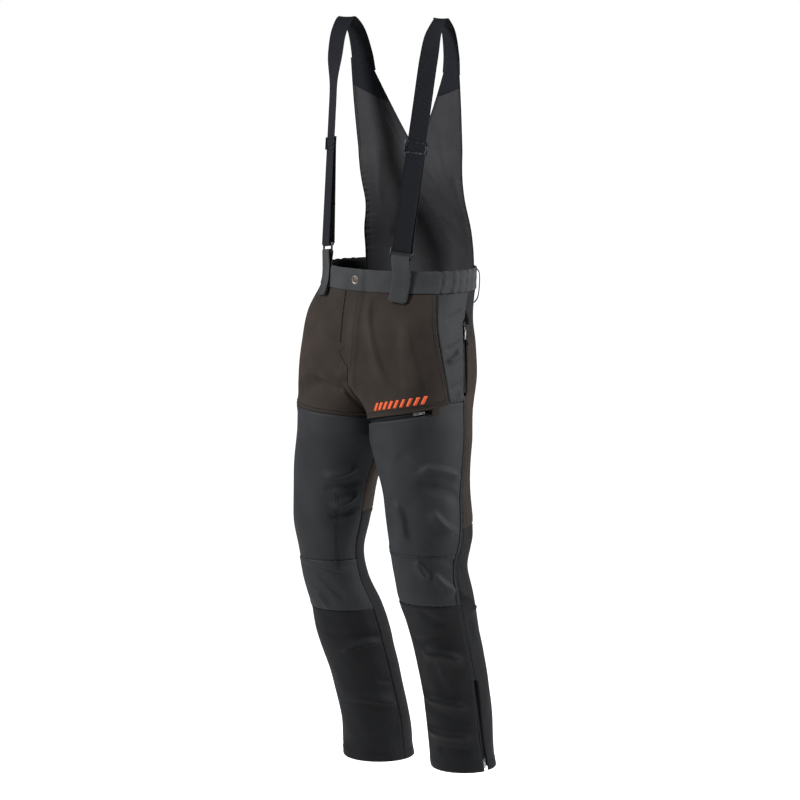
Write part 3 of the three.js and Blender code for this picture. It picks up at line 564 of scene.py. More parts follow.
def ridge(fold, x, y):
    (x0, y0), (x1, y1), width, height = fold
    dx, dy = x1 - x0, y1 - y0
    span = dx * dx + dy * dy
    t = ((x - x0) * dx + (y - y0) * dy) / span
    if t < -0.15 or t > 1.15:
        return 0
    off = ((x - x0) * dy - (y - y0) * dx) / math.sqrt(span)
    bend = 0.35 * width * math.sin(math.pi * t * 1.3 + x0)
    off = (off + bend) / (width * (0.34 if off + bend > 0 else 1.25))
    if abs(off) > 3:
        return 0
    fade = smooth(-0.15, 0.25, t) * smooth(1.15, 0.75, t)
    return height * fade * math.exp(-off ** 2)


def folded(side, share, depth):
    """How far the worn cloth stands off its plain surface, in millimetres."""
    x = share * SHARE_WIDTH
    out = 0
    for (share0, depth0), (share1, depth1), width, height in FOLDS[side]:
        out += ridge(((share0 * SHARE_WIDTH, depth0), (share1 * SHARE_WIDTH, depth1), width,
                      FOLD_RELIEF * height), x, depth)
    seed = 0 if side == "left" else 40
    broad = noise.noise(Vector((x / 70 + seed, depth / 160, 3.1)))
    lean = noise.noise(Vector(((x + depth * 0.35) / 34 + seed, depth / 90, 8.7)))
    calm = smooth(30, 120, depth)
    out += calm * (2.6 * broad + 1.7 * lean)
    if out < -FOLD_FLOOR:
        out = -FOLD_FLOOR * (2 - math.exp((out + FOLD_FLOOR) / FOLD_FLOOR))
    return out


def seam_profile(distance):
    """Cloth dips into a seam and puffs up beside it."""
    return -1.3 * math.exp(-(distance / 1.3) ** 2) + 0.45 * math.exp(-((distance - 5) / 3.5) ** 2)


def panel(name, side, look, start, end, top, bottom, step=7, lift=lambda share, depth: 0,
          ruffle=lambda i, j, share, depth: 0, hem=False, thick=SHELL):
    """One cut piece of cloth between its seams, with its thickness, seam edges and folds."""
    middle = (top(0.25) + bottom(0.25)) / 2
    width = abs(end(middle) - start(middle)) * stride(side, (start(middle) + end(middle)) / 2, middle)
    height = bottom(0.25) - top(0.25)
    across, down = spaced(width, step), spaced(height, step)
    gap = 0.12

    def at(i, j):
        depth = mix(top(0.25), bottom(0.25), j)
        for _ in range(4):
            share = mix(start(depth), end(depth), i)
            depth = mix(top(share) + gap, bottom(share) - gap, j)
        return share, depth

    def place(i, j):
        share, depth = at(i, j)
        span = abs(end(depth) - start(depth)) * stride(side, share, depth)
        tall = bottom(share) - top(share)
        edge = min(i * span, (1 - i) * span, j * tall, (1 - j) * tall)
        pucker = 0.35 * math.exp(-edge / 9) * math.sin((i * span + j * tall) / 2.3
                                                       + 3 * noise.noise(Vector((i * 9, j * 9, 5))))
        out = lift(share, depth) + folded(side, share, depth) * min(1, edge / FOLD_EASE) + pucker
        out += ruffle(i, j, share, depth)
        if hem and (1 - j) * tall < HEM_TURN:
            out += HEM_RISE * smooth(HEM_TURN, HEM_TURN - 2, (1 - j) * tall)
        return above(side, share, depth, out + seam_profile(edge)) * MM

    def uv_at(i, j):
        share, depth = at(i, j)
        return share * (SHARE_WIDTH * MM), -depth * MM

    bm = grid_piece(across, down, place, uv_at,
                    lambda c: normal_at(side, *at(0.5, 0.5)))
    node = f"{name}_{side}"
    obj = piece_from(bm, node + "_cloth", [LOOKS[look]], "trousers", [node], look)
    thicken(obj, thick * MM)
    declare(side, at)
    return obj


def declare(side, at):
    """Works out points of the cut on the plain surface, without the folds, and does nothing more with them.
    """
    steps = 12
    rows = [[above(side, *at(i / steps, j / steps)) for i in range(steps + 1)] for j in range(steps + 1)]


# ---------- Trouser panels ----------
def ribs(count, height, width):
    """Piped lines down a panel, evenly spaced across it."""
    def ruffle(i, j, share, depth):
        fade = smooth(0, 0.05, j) * smooth(1, 0.97, j)
        return fade * sum(height * math.exp(-(((i - (k + 1) / (count + 1)) * (count + 1)) / width) ** 2)
                          for k in range(count))
    return ruffle


def trouser_panels(side):
    data = SIDES[side]
    left = side == "left"

    def before_zip(depth):
        return outseam(side, depth) - zip_slot(side, depth)

    def behind_zip(depth):
        return outseam(side, depth) + zip_slot(side, depth)

    def yoke(share):
        return yoke_seam(side, share)

    def constant(value):
        return lambda at: value

    def lapped(share, depth):
        return lap_rise(share) * smooth(FLY_END + 22, FLY_END - 5, depth) if left else 0

    band = constant(WAISTBAND_HEIGHT)
    panel("front_panel", side, "softshell", lap_edge if left else constant(0), front_edge, band, yoke,
          step=5, lift=lapped)
    panel("hip_panel", side, "dark_nylon", front_edge, before_zip, band, constant(data["yoke_outer"]),
          step=4)
    panel("side_strip", side, "softshell", behind_zip, strip_back, constant(SIDE_STRIP_TOP),
          constant(BACK_SPLIT), step=2.2, ruffle=ribs(3, 1.6, 0.22))
    panel("back_panel", side, "black_nylon", seat_front, seat_back, band, constant(BACK_SPLIT), step=8)
    panel("thigh_front", side, "dark_nylon", constant(0), hip_seam,
          lambda share: yoke(share) + zip_drop(side, share), constant(data["knee_top"]), step=4)
    panel("knee_panel", side, "dark_nylon", constant(0), hip_seam, constant(data["knee_top"]),
          constant(data["knee_bottom"]), step=4)
    panel("shin_front", side, "black_nylon", constant(0), before_zip, constant(data["knee_bottom"]),
          constant(data["hem"]), step=5, hem=True)
    panel("gusset", side, "softshell", gusset_front, constant(1), constant(CROTCH),
          constant(BACK_SPLIT), step=7)
    panel("back_leg", side, "black_nylon", behind_zip, constant(1), constant(BACK_SPLIT),
          constant(data["hem"]), step=8, hem=True)


# ---------- Inner layers ----------
def inner_layer(name, side, look, start, end, top, bottom, inward, thick, quilt=0.0, step=14):
    across, down = spaced((end - start) * 400, step, ()), spaced(bottom - top, step, ())

    def at(i, j):
        return mix(start, end, i), mix(top, bottom, j)

    def place(i, j):
        share, depth = at(i, j)
        puff = quilt * abs(math.sin(math.pi * (i * 9 + j * 16))) * abs(math.sin(math.pi * (i * 9 - j * 16)))
        return above(side, share, depth, puff - inward(share, depth)) * MM

    bm = grid_piece(across, down, place, lambda i, j: (at(i, j)[0] * 0.4, -at(i, j)[1] * MM),
                    lambda c: normal_at(side, *at(0.5, 0.5)))
    node = f"{name}_{side}" if name != "thigh_pocket_bag" else name
    obj = piece_from(bm, node + "_cloth", [LOOKS[look]], "trousers", [node], look)
    thicken(obj, thick * MM)
    if look == "pad_fibre":
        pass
    else:
        declare(side, at)
    return obj


def inner_layers(side):
    hem = SIDES[side]["hem"]
    inner_layer("cut_pad", side, "pad_fibre", 0.04, 0.6, CROTCH + 8, 850,
                lambda share, depth: mix(5.6, 3.4, smooth(0.48, 0.58, share)), 5.2, quilt=0.5)
    seam = hip_seam(200)
    inner_layer("hand_pocket_bag", side, "mesh_lining", seam - 0.15, seam - 0.012, 112, 288,
                lambda share, depth: mix(4.6, 10.4, smooth(0.055, 0.03, seam - share)), 0.8)
    across, down = spaced(1, 1 / 64, ()), spaced(hem - 381, 9, ())

    def place(i, j):
        depth = mix(CROTCH + 12, hem - 16, j)
        inward = mix(16.6, 18.8, smooth(790, 860, depth))
        ripple = 0.8 * noise.noise(Vector((math.cos(TAU * i) * 4, math.sin(TAU * i) * 4, depth / 60)))
        return above(side, i, depth, ripple - inward) * MM

    bm = grid_piece(across, down, place, lambda i, j: (i * 0.4, -j * 0.7),
                    lambda c: normal_at(side, 0.5, 700))
    bmesh.ops.remove_doubles(bm, verts=bm.verts, dist=1e-5)
    tube = piece_from(bm, f"lining_{side}_cloth", [LOOKS["mesh_lining"]], "trousers",
                      [f"lining_{side}"], "mesh_lining")
    thicken(tube, 0.8 * MM)
    declare(side, lambda i, j: (i, mix(CROTCH + 12, hem - 16, j)))


# ---------- Waistband ----------
LAP_SHARE = FLAP_REACH / stride("left", 0.03, 20)


def band_point(turn, depth, out):
    if turn <= 1:
        return above("left", turn, depth, out + lap_rise(turn))
    return above("right", 2 - turn, depth, out)


def gathers(turn, j):
    """Elastic inside the band draws the sides and the back into small upright pleats."""
    amount = smooth(0.34, 0.42, turn) * smooth(1.72, 1.6, turn)
    phase = turn * 168 + 1.6 * noise.noise(Vector((turn * 30, j * 1.2, 2)))
    wave = math.sin(phase) + 0.4 * math.sin(phase * 1.7 + 2)
    swell = 1.1 * noise.noise(Vector((turn * 13 + j * 0.9, j * 0.8, 7)))
    return amount * (1.1 * wave * (0.65 + 0.35 * math.cos(TAU * 2 * (j - 0.5))) - 0.3) + swell


def waistband():
    across = [k / BAND_STEPS for k in range(BAND_STEPS + 1)]
    down = spaced(BAND_SHOWN, 3, (0.5, 1.4, 2.6, 4))

    def place(i, j):
        turn = mix(-LAP_SHARE, 2.03, i)
        edge = min(j, 1 - j) * BAND_SHOWN
        lines = -0.5 * math.exp(-((edge - 3.2) / 0.9) ** 2)
        roll = -1.0 * math.exp(-(edge / 1.0) ** 2)
        pleats = gathers(turn, j) * min(1, edge / 3 + 0.45)
        return band_point(turn, mix(0, BAND_SHOWN, j), pleats + lines + roll) * MM

    bm = grid_piece(across, down, place, lambda i, j: (i * 0.98, -j * 0.044),
                    lambda c: normal_at("right", 0.98, 20))
    obj = piece_from(bm, "waistband_cloth", [LOOKS["band_cloth"]], "trousers", ["waistband"], "band_cloth")
    thicken(obj, 2.5 * MM)

    facing = grid_piece(spaced(1, 1 / 220, ()), spaced(40, 5, ()),
                        lambda i, j: band_point(mix(0.02, 1.98, i), mix(1.5, 52, j),
                                                -3.0 - 0.3 * math.sin(j * 9)) * MM,
                        lambda i, j: (i * 0.95, -j * 0.04), lambda c: -normal_at("right", 0.98, 20))
    inner = piece_from(facing, "waistband_facing", [LOOKS["mesh_lining"]], "trousers", (), "mesh_lining")
    thicken(inner, 0.5 * MM, 1)


# ---------- Stitching ----------
class Thread:
    """Collects lines of stitches and makes them one piece."""

    def __init__(self):
        self.bm = bmesh.new()

    def line(self, points, pitch=3.4, width=0.55):
        """`points` are (place, outward) in millimetres, close together."""
        walked = 0
        for (a, na), (b, nb) in zip(points, points[1:]):
            span = (b - a).length
            while walked < span:
                t = walked / span
                along = (b - a).normalized()
                out = na.lerp(nb, t).normalized()
                side = along.cross(out).normalized()
                turn = Matrix((along, side, side.cross(along) * -1)).transposed().to_4x4()
                size = Matrix.Diagonal((pitch * 0.66 * MM, width * MM, 0.5 * MM, 1))
                bmesh.ops.create_cube(self.bm, size=1,
                                      matrix=Matrix.Translation(a.lerp(b, t) * MM) @ turn @ size)
                walked += pitch
            walked -= span

    def finish(self, name, look):
        bmesh.ops.recalc_face_normals(self.bm, faces=self.bm.faces)
        return piece_from(self.bm, name, [LOOKS[look]], "trousers", (), "band_cloth")


def on_cloth(side, share, depth, edge, lift=0.0):
    out = folded(side, share, depth) * min(1, edge / FOLD_EASE) + seam_profile(edge) + lift
    return above(side, share, depth, out + 0.15), normal_at(side, share, depth)


def across_run(side, depth_at, shares, edge, lift=lambda share: 0.0):
    return [on_cloth(side, share, depth_at(share), edge, lift(share)) for share in shares]


def down_run(side, share_at, depths, edge, shift=0.0, lift=0.0):
    """A line down the garment, `shift` millimetres towards the back of the given seam."""
    out = []
    for depth in depths:
        share = share_at(depth)
        out.append(on_cloth(side, share + shift / stride(side, share, depth), depth, edge, lift))
    return out


def steps(start, end, pitch=8):
    count = max(2, round(abs(end - start) / pitch))
    return [mix(start, end, k / count) for k in range(count + 1)]


def seams(side):
    data = SIDES[side]
    left = side == "left"
    brown, dark = Thread(), Thread()
    shares = steps(0.01, 0.45, 0.012)
    for gap in (3, 9):
        dark.line(across_run(side, lambda s: yoke_seam(side, s) - gap, shares, gap), width=0.8)
    line = [p for p, n in across_run(side, lambda s: yoke_seam(side, s) - 9, shares, 9)]
    tube(f"yoke_line_{side}", line, 0.7, "thread_dark")
    for depth in (data["knee_top"], data["knee_bottom"]):
        dark.line(across_run(side, lambda s: depth + 3, steps(0.02, 0.46, 0.012), 3))
    for gap in (-3, -9):
        dark.line(down_run(side, front_edge, steps(50, data["yoke_outer"] - 8), -gap, gap), width=0.8)
    dark.line(down_run(side, front_edge, steps(50, data["yoke_outer"] - 8), 3, 3))
    dark.line(down_run(side, hip_seam, steps(data["yoke_outer"] + 8, 850), 3, -3))
    brown.line(down_run(side, hip_seam, steps(262, BACK_SPLIT - 6), 3, 3))
    dark.line(down_run(side, hip_seam, steps(BACK_SPLIT + 4, 850), 3, 3))
    for way in (-1, 1):
        dark.line(down_run(side, lambda d: outseam(side, d), steps(LEG_ZIP_TOP - 4, data["hem"] - 8), 3,
                           way * (ZIP_SLOT / 2 + 3)))
        dark.line(down_run(side, hip_seam, steps(*POCKET_ZIP), 3, way * (ZIP_SLOT / 2 + 3)))
    brown.line(down_run(side, strip_back, steps(165, BACK_SPLIT - 6), 3, -3))
    hem_line = HEM_TURN - 2
    for start, end in ((0.01, 0.46), (0.52, 0.99)):
        dark.line(across_run(side, lambda s: data["hem"] - hem_line, steps(start, end, 0.012), hem_line,
                             lambda s: HEM_RISE))
    dark.line(across_run(side, lambda s: BACK_SPLIT + 3, steps(0.55, 0.99, 0.012), 3))
    dark.line(down_run(side, lambda d: 1.0, steps(BACK_SPLIT, data["hem"] - 20), 3, -3))
    dark.line(down_run(side, lambda d: 1.0, steps(60, CROTCH - 40), 3, -4))
    # A sewn line runs down the inside of the thigh front and the knee.
    for gap in (0, 5):
        dark.line(down_run(side, lambda d: 0.115 - 0.03 * (d - 480) / 250,
                           steps(480, data["knee_bottom"] - 4), 30, gap), width=1.0)
    if left:
        # The fly's curved line of topstitching, and the bar at its foot.
        j_line = []
        for depth in steps(WAISTBAND_HEIGHT + 4, FLY_END - 34, 5):
            share = 0.022
            j_line.append(on_cloth(side, share, depth, 20, lap_rise(share)))
        for k in range(1, 13):
            turn = k / 12 * math.pi / 2
            share = 0.022 - 0.062 * (1 - math.cos(turn))
            depth = FLY_END - 34 + 26 * math.sin(turn)
            fade = smooth(FLY_END + 22, FLY_END - 5, depth)
            j_line.append(on_cloth(side, share, depth, 20, lap_rise(share) * fade))
        dark.line(j_line, pitch=3, width=0.8)
        edge_line = [on_cloth(side, lap_edge(d) + 3.0 / stride(side, 0, d), d, 3,
                              lap_rise(0)) for d in steps(WAISTBAND_HEIGHT + 4, FLY_END - 70, 6)]
        dark.line(edge_line, pitch=3, width=0.8)
        # A dark cord along the flap's edge is painted shade: the shadow line where the flap lies over the
        # other front.
        edge = [above(side, lap_edge(d), d, lap_rise(0) * smooth(FLY_END + 22, FLY_END - 5, d) - 0.2)
                for d in steps(WAISTBAND_HEIGHT + 1, FLY_END - 2, 6)]
        tube("fly_edge_shade_line", edge, 0.9, "thread_dark")
        # A dark cord down the centre seam below the fly is painted shade for the seam's groove.
        seam = [above(side, lap_edge(d), d, 0.1) for d in steps(FLY_END, CROTCH - 38, 8)]
        tube("centre_seam_shade_line", seam, 0.8, "thread_dark")
        bar = [on_cloth(side, k, FLY_END - 6, 20, 1.4) for k in steps(-0.012, 0.02, 0.002)]
        for rise in (0, 0.9, 1.8):
            dark.line([(p + Vector((0, 0, rise)), n) for p, n in bar], pitch=1.6, width=0.9)
    brown.finish(f"stitching_brown_{side}", "thread_brown")
    dark.finish(f"stitching_dark_{side}", "thread_dark")
    # Piping sewn into the side seam.
    for shift, name in ((0, "outseam_piping"), (-7, "outseam_cord")):
        run = down_run(side, hip_seam, steps(262, LEG_ZIP_TOP - 8, 10), abs(shift), shift)
        tube(f"{name}_{side}", [place for place, outward in run], 1.5, "dark_nylon")


def tube(name, points, radius, look, body="trousers"):
    """A thin round cord along a line, given in millimetres: sewn piping, binding and pull cords, and dark
    lines of painted shade.
    """
    data = bpy.data.curves.new(name, "CURVE")
    data.dimensions = "3D"
    data.bevel_depth = radius * MM
    data.bevel_resolution = 2
    data.resolution_u = 4
    data.use_fill_caps = True
    spline = data.splines.new("NURBS")
    spline.points.add(len(points) - 1)
    for point, place in zip(spline.points, points):
        point.co = (*(place * MM), 1)
    spline.use_endpoint_u = True
    spline.order_u = 4
    rough = bpy.data.objects.new(name + "_line", data)
    scene.collection.objects.link(rough)
    bpy.context.view_layer.update()
    mesh = bpy.data.meshes.new_from_object(rough.evaluated_get(bpy.context.evaluated_depsgraph_get()))
    bpy.data.objects.remove(rough)
    bm = bmesh.new()
    bm.from_mesh(mesh)
    bmesh.ops.remove_doubles(bm, verts=bm.verts, dist=1e-6)
    bmesh.ops.recalc_face_normals(bm, faces=bm.faces)
    return piece_from(bm, name, [LOOKS[look]], body, (), "black_nylon")


# ---------- Bib back ----------
BIB_HEIGHT = 428
BIB_NECK = 240
WEB_WIDTH = 40
# Folds of the thin cloth: x and z of both ends, half width and height.
BIB_FOLDS = [((20, 190), (95, 75), 9, 3), ((35, 200), (110, 95), 8, -3.5), ((60, 250), (85, 160), 9, 3),
             ((78, 260), (100, 170), 8, -3), ((110, 190), (124, 70), 6, 4), ((120, 180), (130, 60), 6, -4),
             ((30, 120), (100, 30), 12, -3), ((-120, 390), (-20, 220), 10, 3),
             ((-105, 370), (-12, 200), 8, -3), ((-60, 120), (-110, 40), 12, 2.5),
             ((-10, 150), (60, 30), 10, 2.5), ((-100, 250), (-110, 120), 10, -2.5)]


def bib_point(x, z, back):
    wrapped = 122 * math.sqrt(1 - (x / 176) ** 2)
    flat = 49 - 19 * (x / 146) ** 2 - 0.085 * max(0, z - BIB_NECK)
    return Vector((x, mix(wrapped, flat, smooth(-20, BIB_NECK, z)) + back, z))


def bib_outer(z):
    return 140 + 12 * smooth(0, BIB_HEIGHT, z) + 14 * smooth(150, 40, z)


def bib_inner(z):
    if z <= BIB_NECK:
        return 0
    return (bib_outer(BIB_HEIGHT) - WEB_WIDTH) * ((z - BIB_NECK) / (BIB_HEIGHT - BIB_NECK)) ** 0.85


def bib_fold(x, z):
    out = 1.6 * noise.noise(Vector((x / 45, z / 90, 1.7)))
    for (x0, z0), (x1, z1), width, height in BIB_FOLDS:
        out += ridge(((x0, z0), (x1, z1), width, height), x, z)
    return out


def bib():
    bm = bmesh.new()
    uv = bm.loops.layers.uv.verify()
    for sign in (1, -1):
        heights = [mix(-30, BIB_HEIGHT, k / 110) for k in range(111)]
        columns = spaced(140, 4, (0.6, 1.5, 3, 5))
        before = len(bm.verts)
        bmesh.ops.create_grid(bm, x_segments=len(columns) - 1, y_segments=110, size=1)
        bm.verts.ensure_lookup_table()
        fresh = bm.verts[before:]
        for vert in fresh:
            i = columns[round((vert.co.x + 1) / 2 * (len(columns) - 1))]
            z = heights[round((vert.co.y + 1) / 2 * 110)]
            inner, outer = bib_inner(z), bib_outer(z)
            x = mix(inner, outer, i)
            edge = (outer - x) if z < BIB_NECK else min(x - inner, outer - x)
            edge = min(edge, BIB_HEIGHT - z)
            # The elastic side edge is drawn into small pleats.
            elastic = smooth(26, 2, outer - x) * smooth(230, 150, z) * smooth(-5, 30, z)
            pleat = 1.3 * elastic * math.sin(z / 1.9 + 2 * noise.noise(Vector((z / 20, 0, sign))))
            off = bib_fold(sign * x, z) * min(1, edge / 14) + pleat
            vert.co = bib_point(sign * x, z, -0.8 + off) * MM
        for vert in fresh:
            for loop in vert.link_loops:
                loop[uv].uv = (vert.co.x, vert.co.z)
    bmesh.ops.remove_doubles(bm, verts=[v for v in bm.verts if abs(v.co.x) < 1e-5], dist=2e-5)
    bmesh.ops.recalc_face_normals(bm, faces=bm.faces)
    bm.normal_update()
    bm.faces.ensure_lookup_table()
    if bm.faces[0].normal.y > 0:
        bmesh.ops.reverse_faces(bm, faces=bm.faces)
    obj = piece_from(bm, "bib_back_cloth", [LOOKS["bib_nylon"]], "trousers", ["bib_back"], "bib_nylon")
    thicken(obj, 1.0 * MM)
    binding = Thread()
    for sign in (1, -1):
        front = Vector((0, -1, 0))
        side = [(bib_point(sign * (bib_outer(z) - 5), z, -1.2), front) for z in steps(-20, BIB_HEIGHT, 6)]
        vee = [(bib_point(sign * (bib_inner(z) + 5), z, -1.2), front)
               for z in steps(BIB_NECK + 2, BIB_HEIGHT, 6)]
        for line in (side, vee):
            binding.line(line)
            binding.line([(p + Vector((0, 2.6, 0)), -n) for p, n in line])
        hem = []
        for z in steps(-28, BIB_HEIGHT, 9):
            hem.append(bib_point(sign * bib_outer(z), z, -0.3))
        tube(f"bib_binding_{'left' if sign > 0 else 'right'}", hem, 1.3, "black_nylon")
    rim = [bib_point(-bib_inner(z) - 0.5, z, -0.3) for z in reversed(steps(BIB_NECK, BIB_HEIGHT, 9))]
    rim += [bib_point(bib_inner(z) + 0.5, z, -0.3) for z in steps(BIB_NECK, BIB_HEIGHT, 9)[1:]]
    tube("bib_vee_binding", rim, 1.3, "black_nylon")
    binding.finish("bib_stitching", "thread_dark")
    # Painted shade: dark sheets laid over the tops of both horns.
    for sign, side in ((1, "left"), (-1, "right")):
        painted_horn_shade(side, sign)


def painted_horn_shade(side, sign):
    """Dark sheets over the top of each horn, front and back, where the brace is sewn to it: painted shade
    for the darkening there.
    """
    def place(back):
        def at(i, j):
            low = mix(352, 372, i) if sign > 0 else mix(335, 372, i)
            z = mix(BIB_HEIGHT + 1, low, j)
            x = mix(bib_inner(z) + 0.5, bib_outer(z) - 0.5, i)
            edge = min(i, 1 - i, j, 1 - j) * 40
            crown = 1.0 * min(1, edge / 3)
            return bib_point(sign * x, z, -0.4 - back * (0.9 + crown)) * MM
        return at
    for back, face in ((1, "front"), (-1.4, "back")):
        bm = grid_piece(spaced(40, 4), spaced(70, 5), place(back), lambda i, j: (i * 0.04, -j * 0.07),
                        lambda c: Vector((0, -back, 0)))
        obj = piece_from(bm, f"painted_horn_shade_{face}_{side}", [LOOKS["elastic_webbing"]], "trousers", (),
                         "elastic_webbing")
        thicken(obj, 0.6 * MM)


# ---------- Braces ----------
WEB = 1.6
WEB_YAW = 0.43
WEB_LOW = (108, -112, 46)
WEB_HIGH = (133, -56, 438)
WEB_ARCH = [(134, -42, 488), (134, -20, 514), (134, 2, 494), (132.5, 18.8, 440), (132, 22.2, 400)]
RING_BAR = 4
RING_HEIGHT = 22
LOOP_PLAY = 2.4
TAB_PLAY = 1.4
TAB_WIDTH = 38
TAB_CLOTH = 1.4
TAB_SHARE = 0.25
TAB_END = 64
ADJUSTER_UP = 210
CLEARANCE = 0.4
LOOP_SHARE = 0.645
LOOP_END = 72


def centripetal(points, per_span):
    """A smooth curve through points, with `per_span` places between each two."""
    first = points[0] + (points[0] - points[1])
    final = points[-1] + (points[-1] - points[-2])
    line = [first, *points, final]
    out = []
    for k in range(1, len(line) - 2):
        p = line[k - 1:k + 3]
        t = [0.0]
        for a, b in zip(p, p[1:]):
            t.append(t[-1] + max((b - a).length, 1e-6) ** 0.5)
        for s in range(per_span):
            u = mix(t[1], t[2], s / per_span)
            a1 = p[0] * ((t[1] - u) / (t[1] - t[0])) + p[1] * ((u - t[0]) / (t[1] - t[0]))
            a2 = p[1] * ((t[2] - u) / (t[2] - t[1])) + p[2] * ((u - t[1]) / (t[2] - t[1]))
            a3 = p[2] * ((t[3] - u) / (t[3] - t[2])) + p[3] * ((u - t[2]) / (t[3] - t[2]))
            b1 = a1 * ((t[2] - u) / (t[2] - t[0])) + a2 * ((u - t[0]) / (t[2] - t[0]))
            b2 = a2 * ((t[3] - u) / (t[3] - t[1])) + a3 * ((u - t[1]) / (t[3] - t[1]))
            out.append(b1 * ((t[2] - u) / (t[2] - t[1])) + b2 * ((u - t[1]) / (t[2] - t[1])))
    return [*out, points[-1]]


def band(name, points, width, thick, crosswise, look, body, nodes, width_at=None):
    """Flat webbing along a line in millimetres; its face is `along` crossed with its width."""
    lengths = [0.0]
    for a, b in zip(points, points[1:]):
        lengths.append(lengths[-1] + (b - a).length)
    frames = []
    for k, at in enumerate(points):
        along = (points[min(k + 1, len(points) - 1)] - points[max(k - 1, 0)]).normalized()
        a = crosswise(k).copy()
        a = (a - along * a.dot(along)).normalized()
        frames.append((at, a, along.cross(a)))
    columns = spaced(width, width / 8, (0.5, 1.3))
    rows = len(points) - 1

    def place(i, j):
        k = round(j * rows)
        at, a, b = frames[k]
        w = width_at(lengths[k], lengths[-1]) if width_at else width
        x = (i - 0.5) * w
        edge = (0.5 - abs(i - 0.5)) * w
        return (at + a * x + b * (thick / 2 - 0.45 * math.exp(-(edge / 0.7) ** 2))) * MM

    middle = frames[rows // 2][2]
    bm = grid_piece(columns, [k / rows for k in range(rows + 1)], place,
                    lambda i, j: ((i - 0.5) * width * MM, lengths[round(j * rows)] * MM), lambda c: middle)
    obj = piece_from(bm, name, [LOOKS[look]], body, nodes, look)
    thicken(obj, thick * MM)
    return obj, lengths[-1]


def facing_fixed(obj, want_first):
    """Turns the faces round where the first face doesn't look the way it should."""
    bm = bmesh.new()
    bm.from_mesh(obj.data)
    bm.normal_update()
    bm.faces.ensure_lookup_table()
    if bm.faces[0].normal.dot(want_first) < 0:
        bmesh.ops.reverse_faces(bm, faces=bm.faces)
        bm.to_mesh(obj.data)
    bm.free()


def rounded(node, width, look, body, slot, segments=2):
    """A CAD node's own shape with its loose faces joined and its edges rounded."""
    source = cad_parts[node]
    bm = bmesh.new()
    bm.from_mesh(source.data)
    bmesh.ops.remove_doubles(bm, verts=bm.verts, dist=2e-6)
    bmesh.ops.dissolve_limit(bm, angle_limit=math.radians(2), verts=bm.verts, edges=bm.edges)
    sharp = [e for e in bm.edges if len(e.link_faces) == 2 and e.calc_face_angle() > 0.5]
    bmesh.ops.bevel(bm, geom=sharp, offset=width * MM, offset_type="OFFSET", segments=segments,
                    profile=0.5, affect="EDGES", material=-1, clamp_overlap=True)
    bmesh.ops.recalc_face_normals(bm, faces=bm.faces)
    return piece_from(bm, node + "_finished", [LOOKS[look]], body, [node], slot)


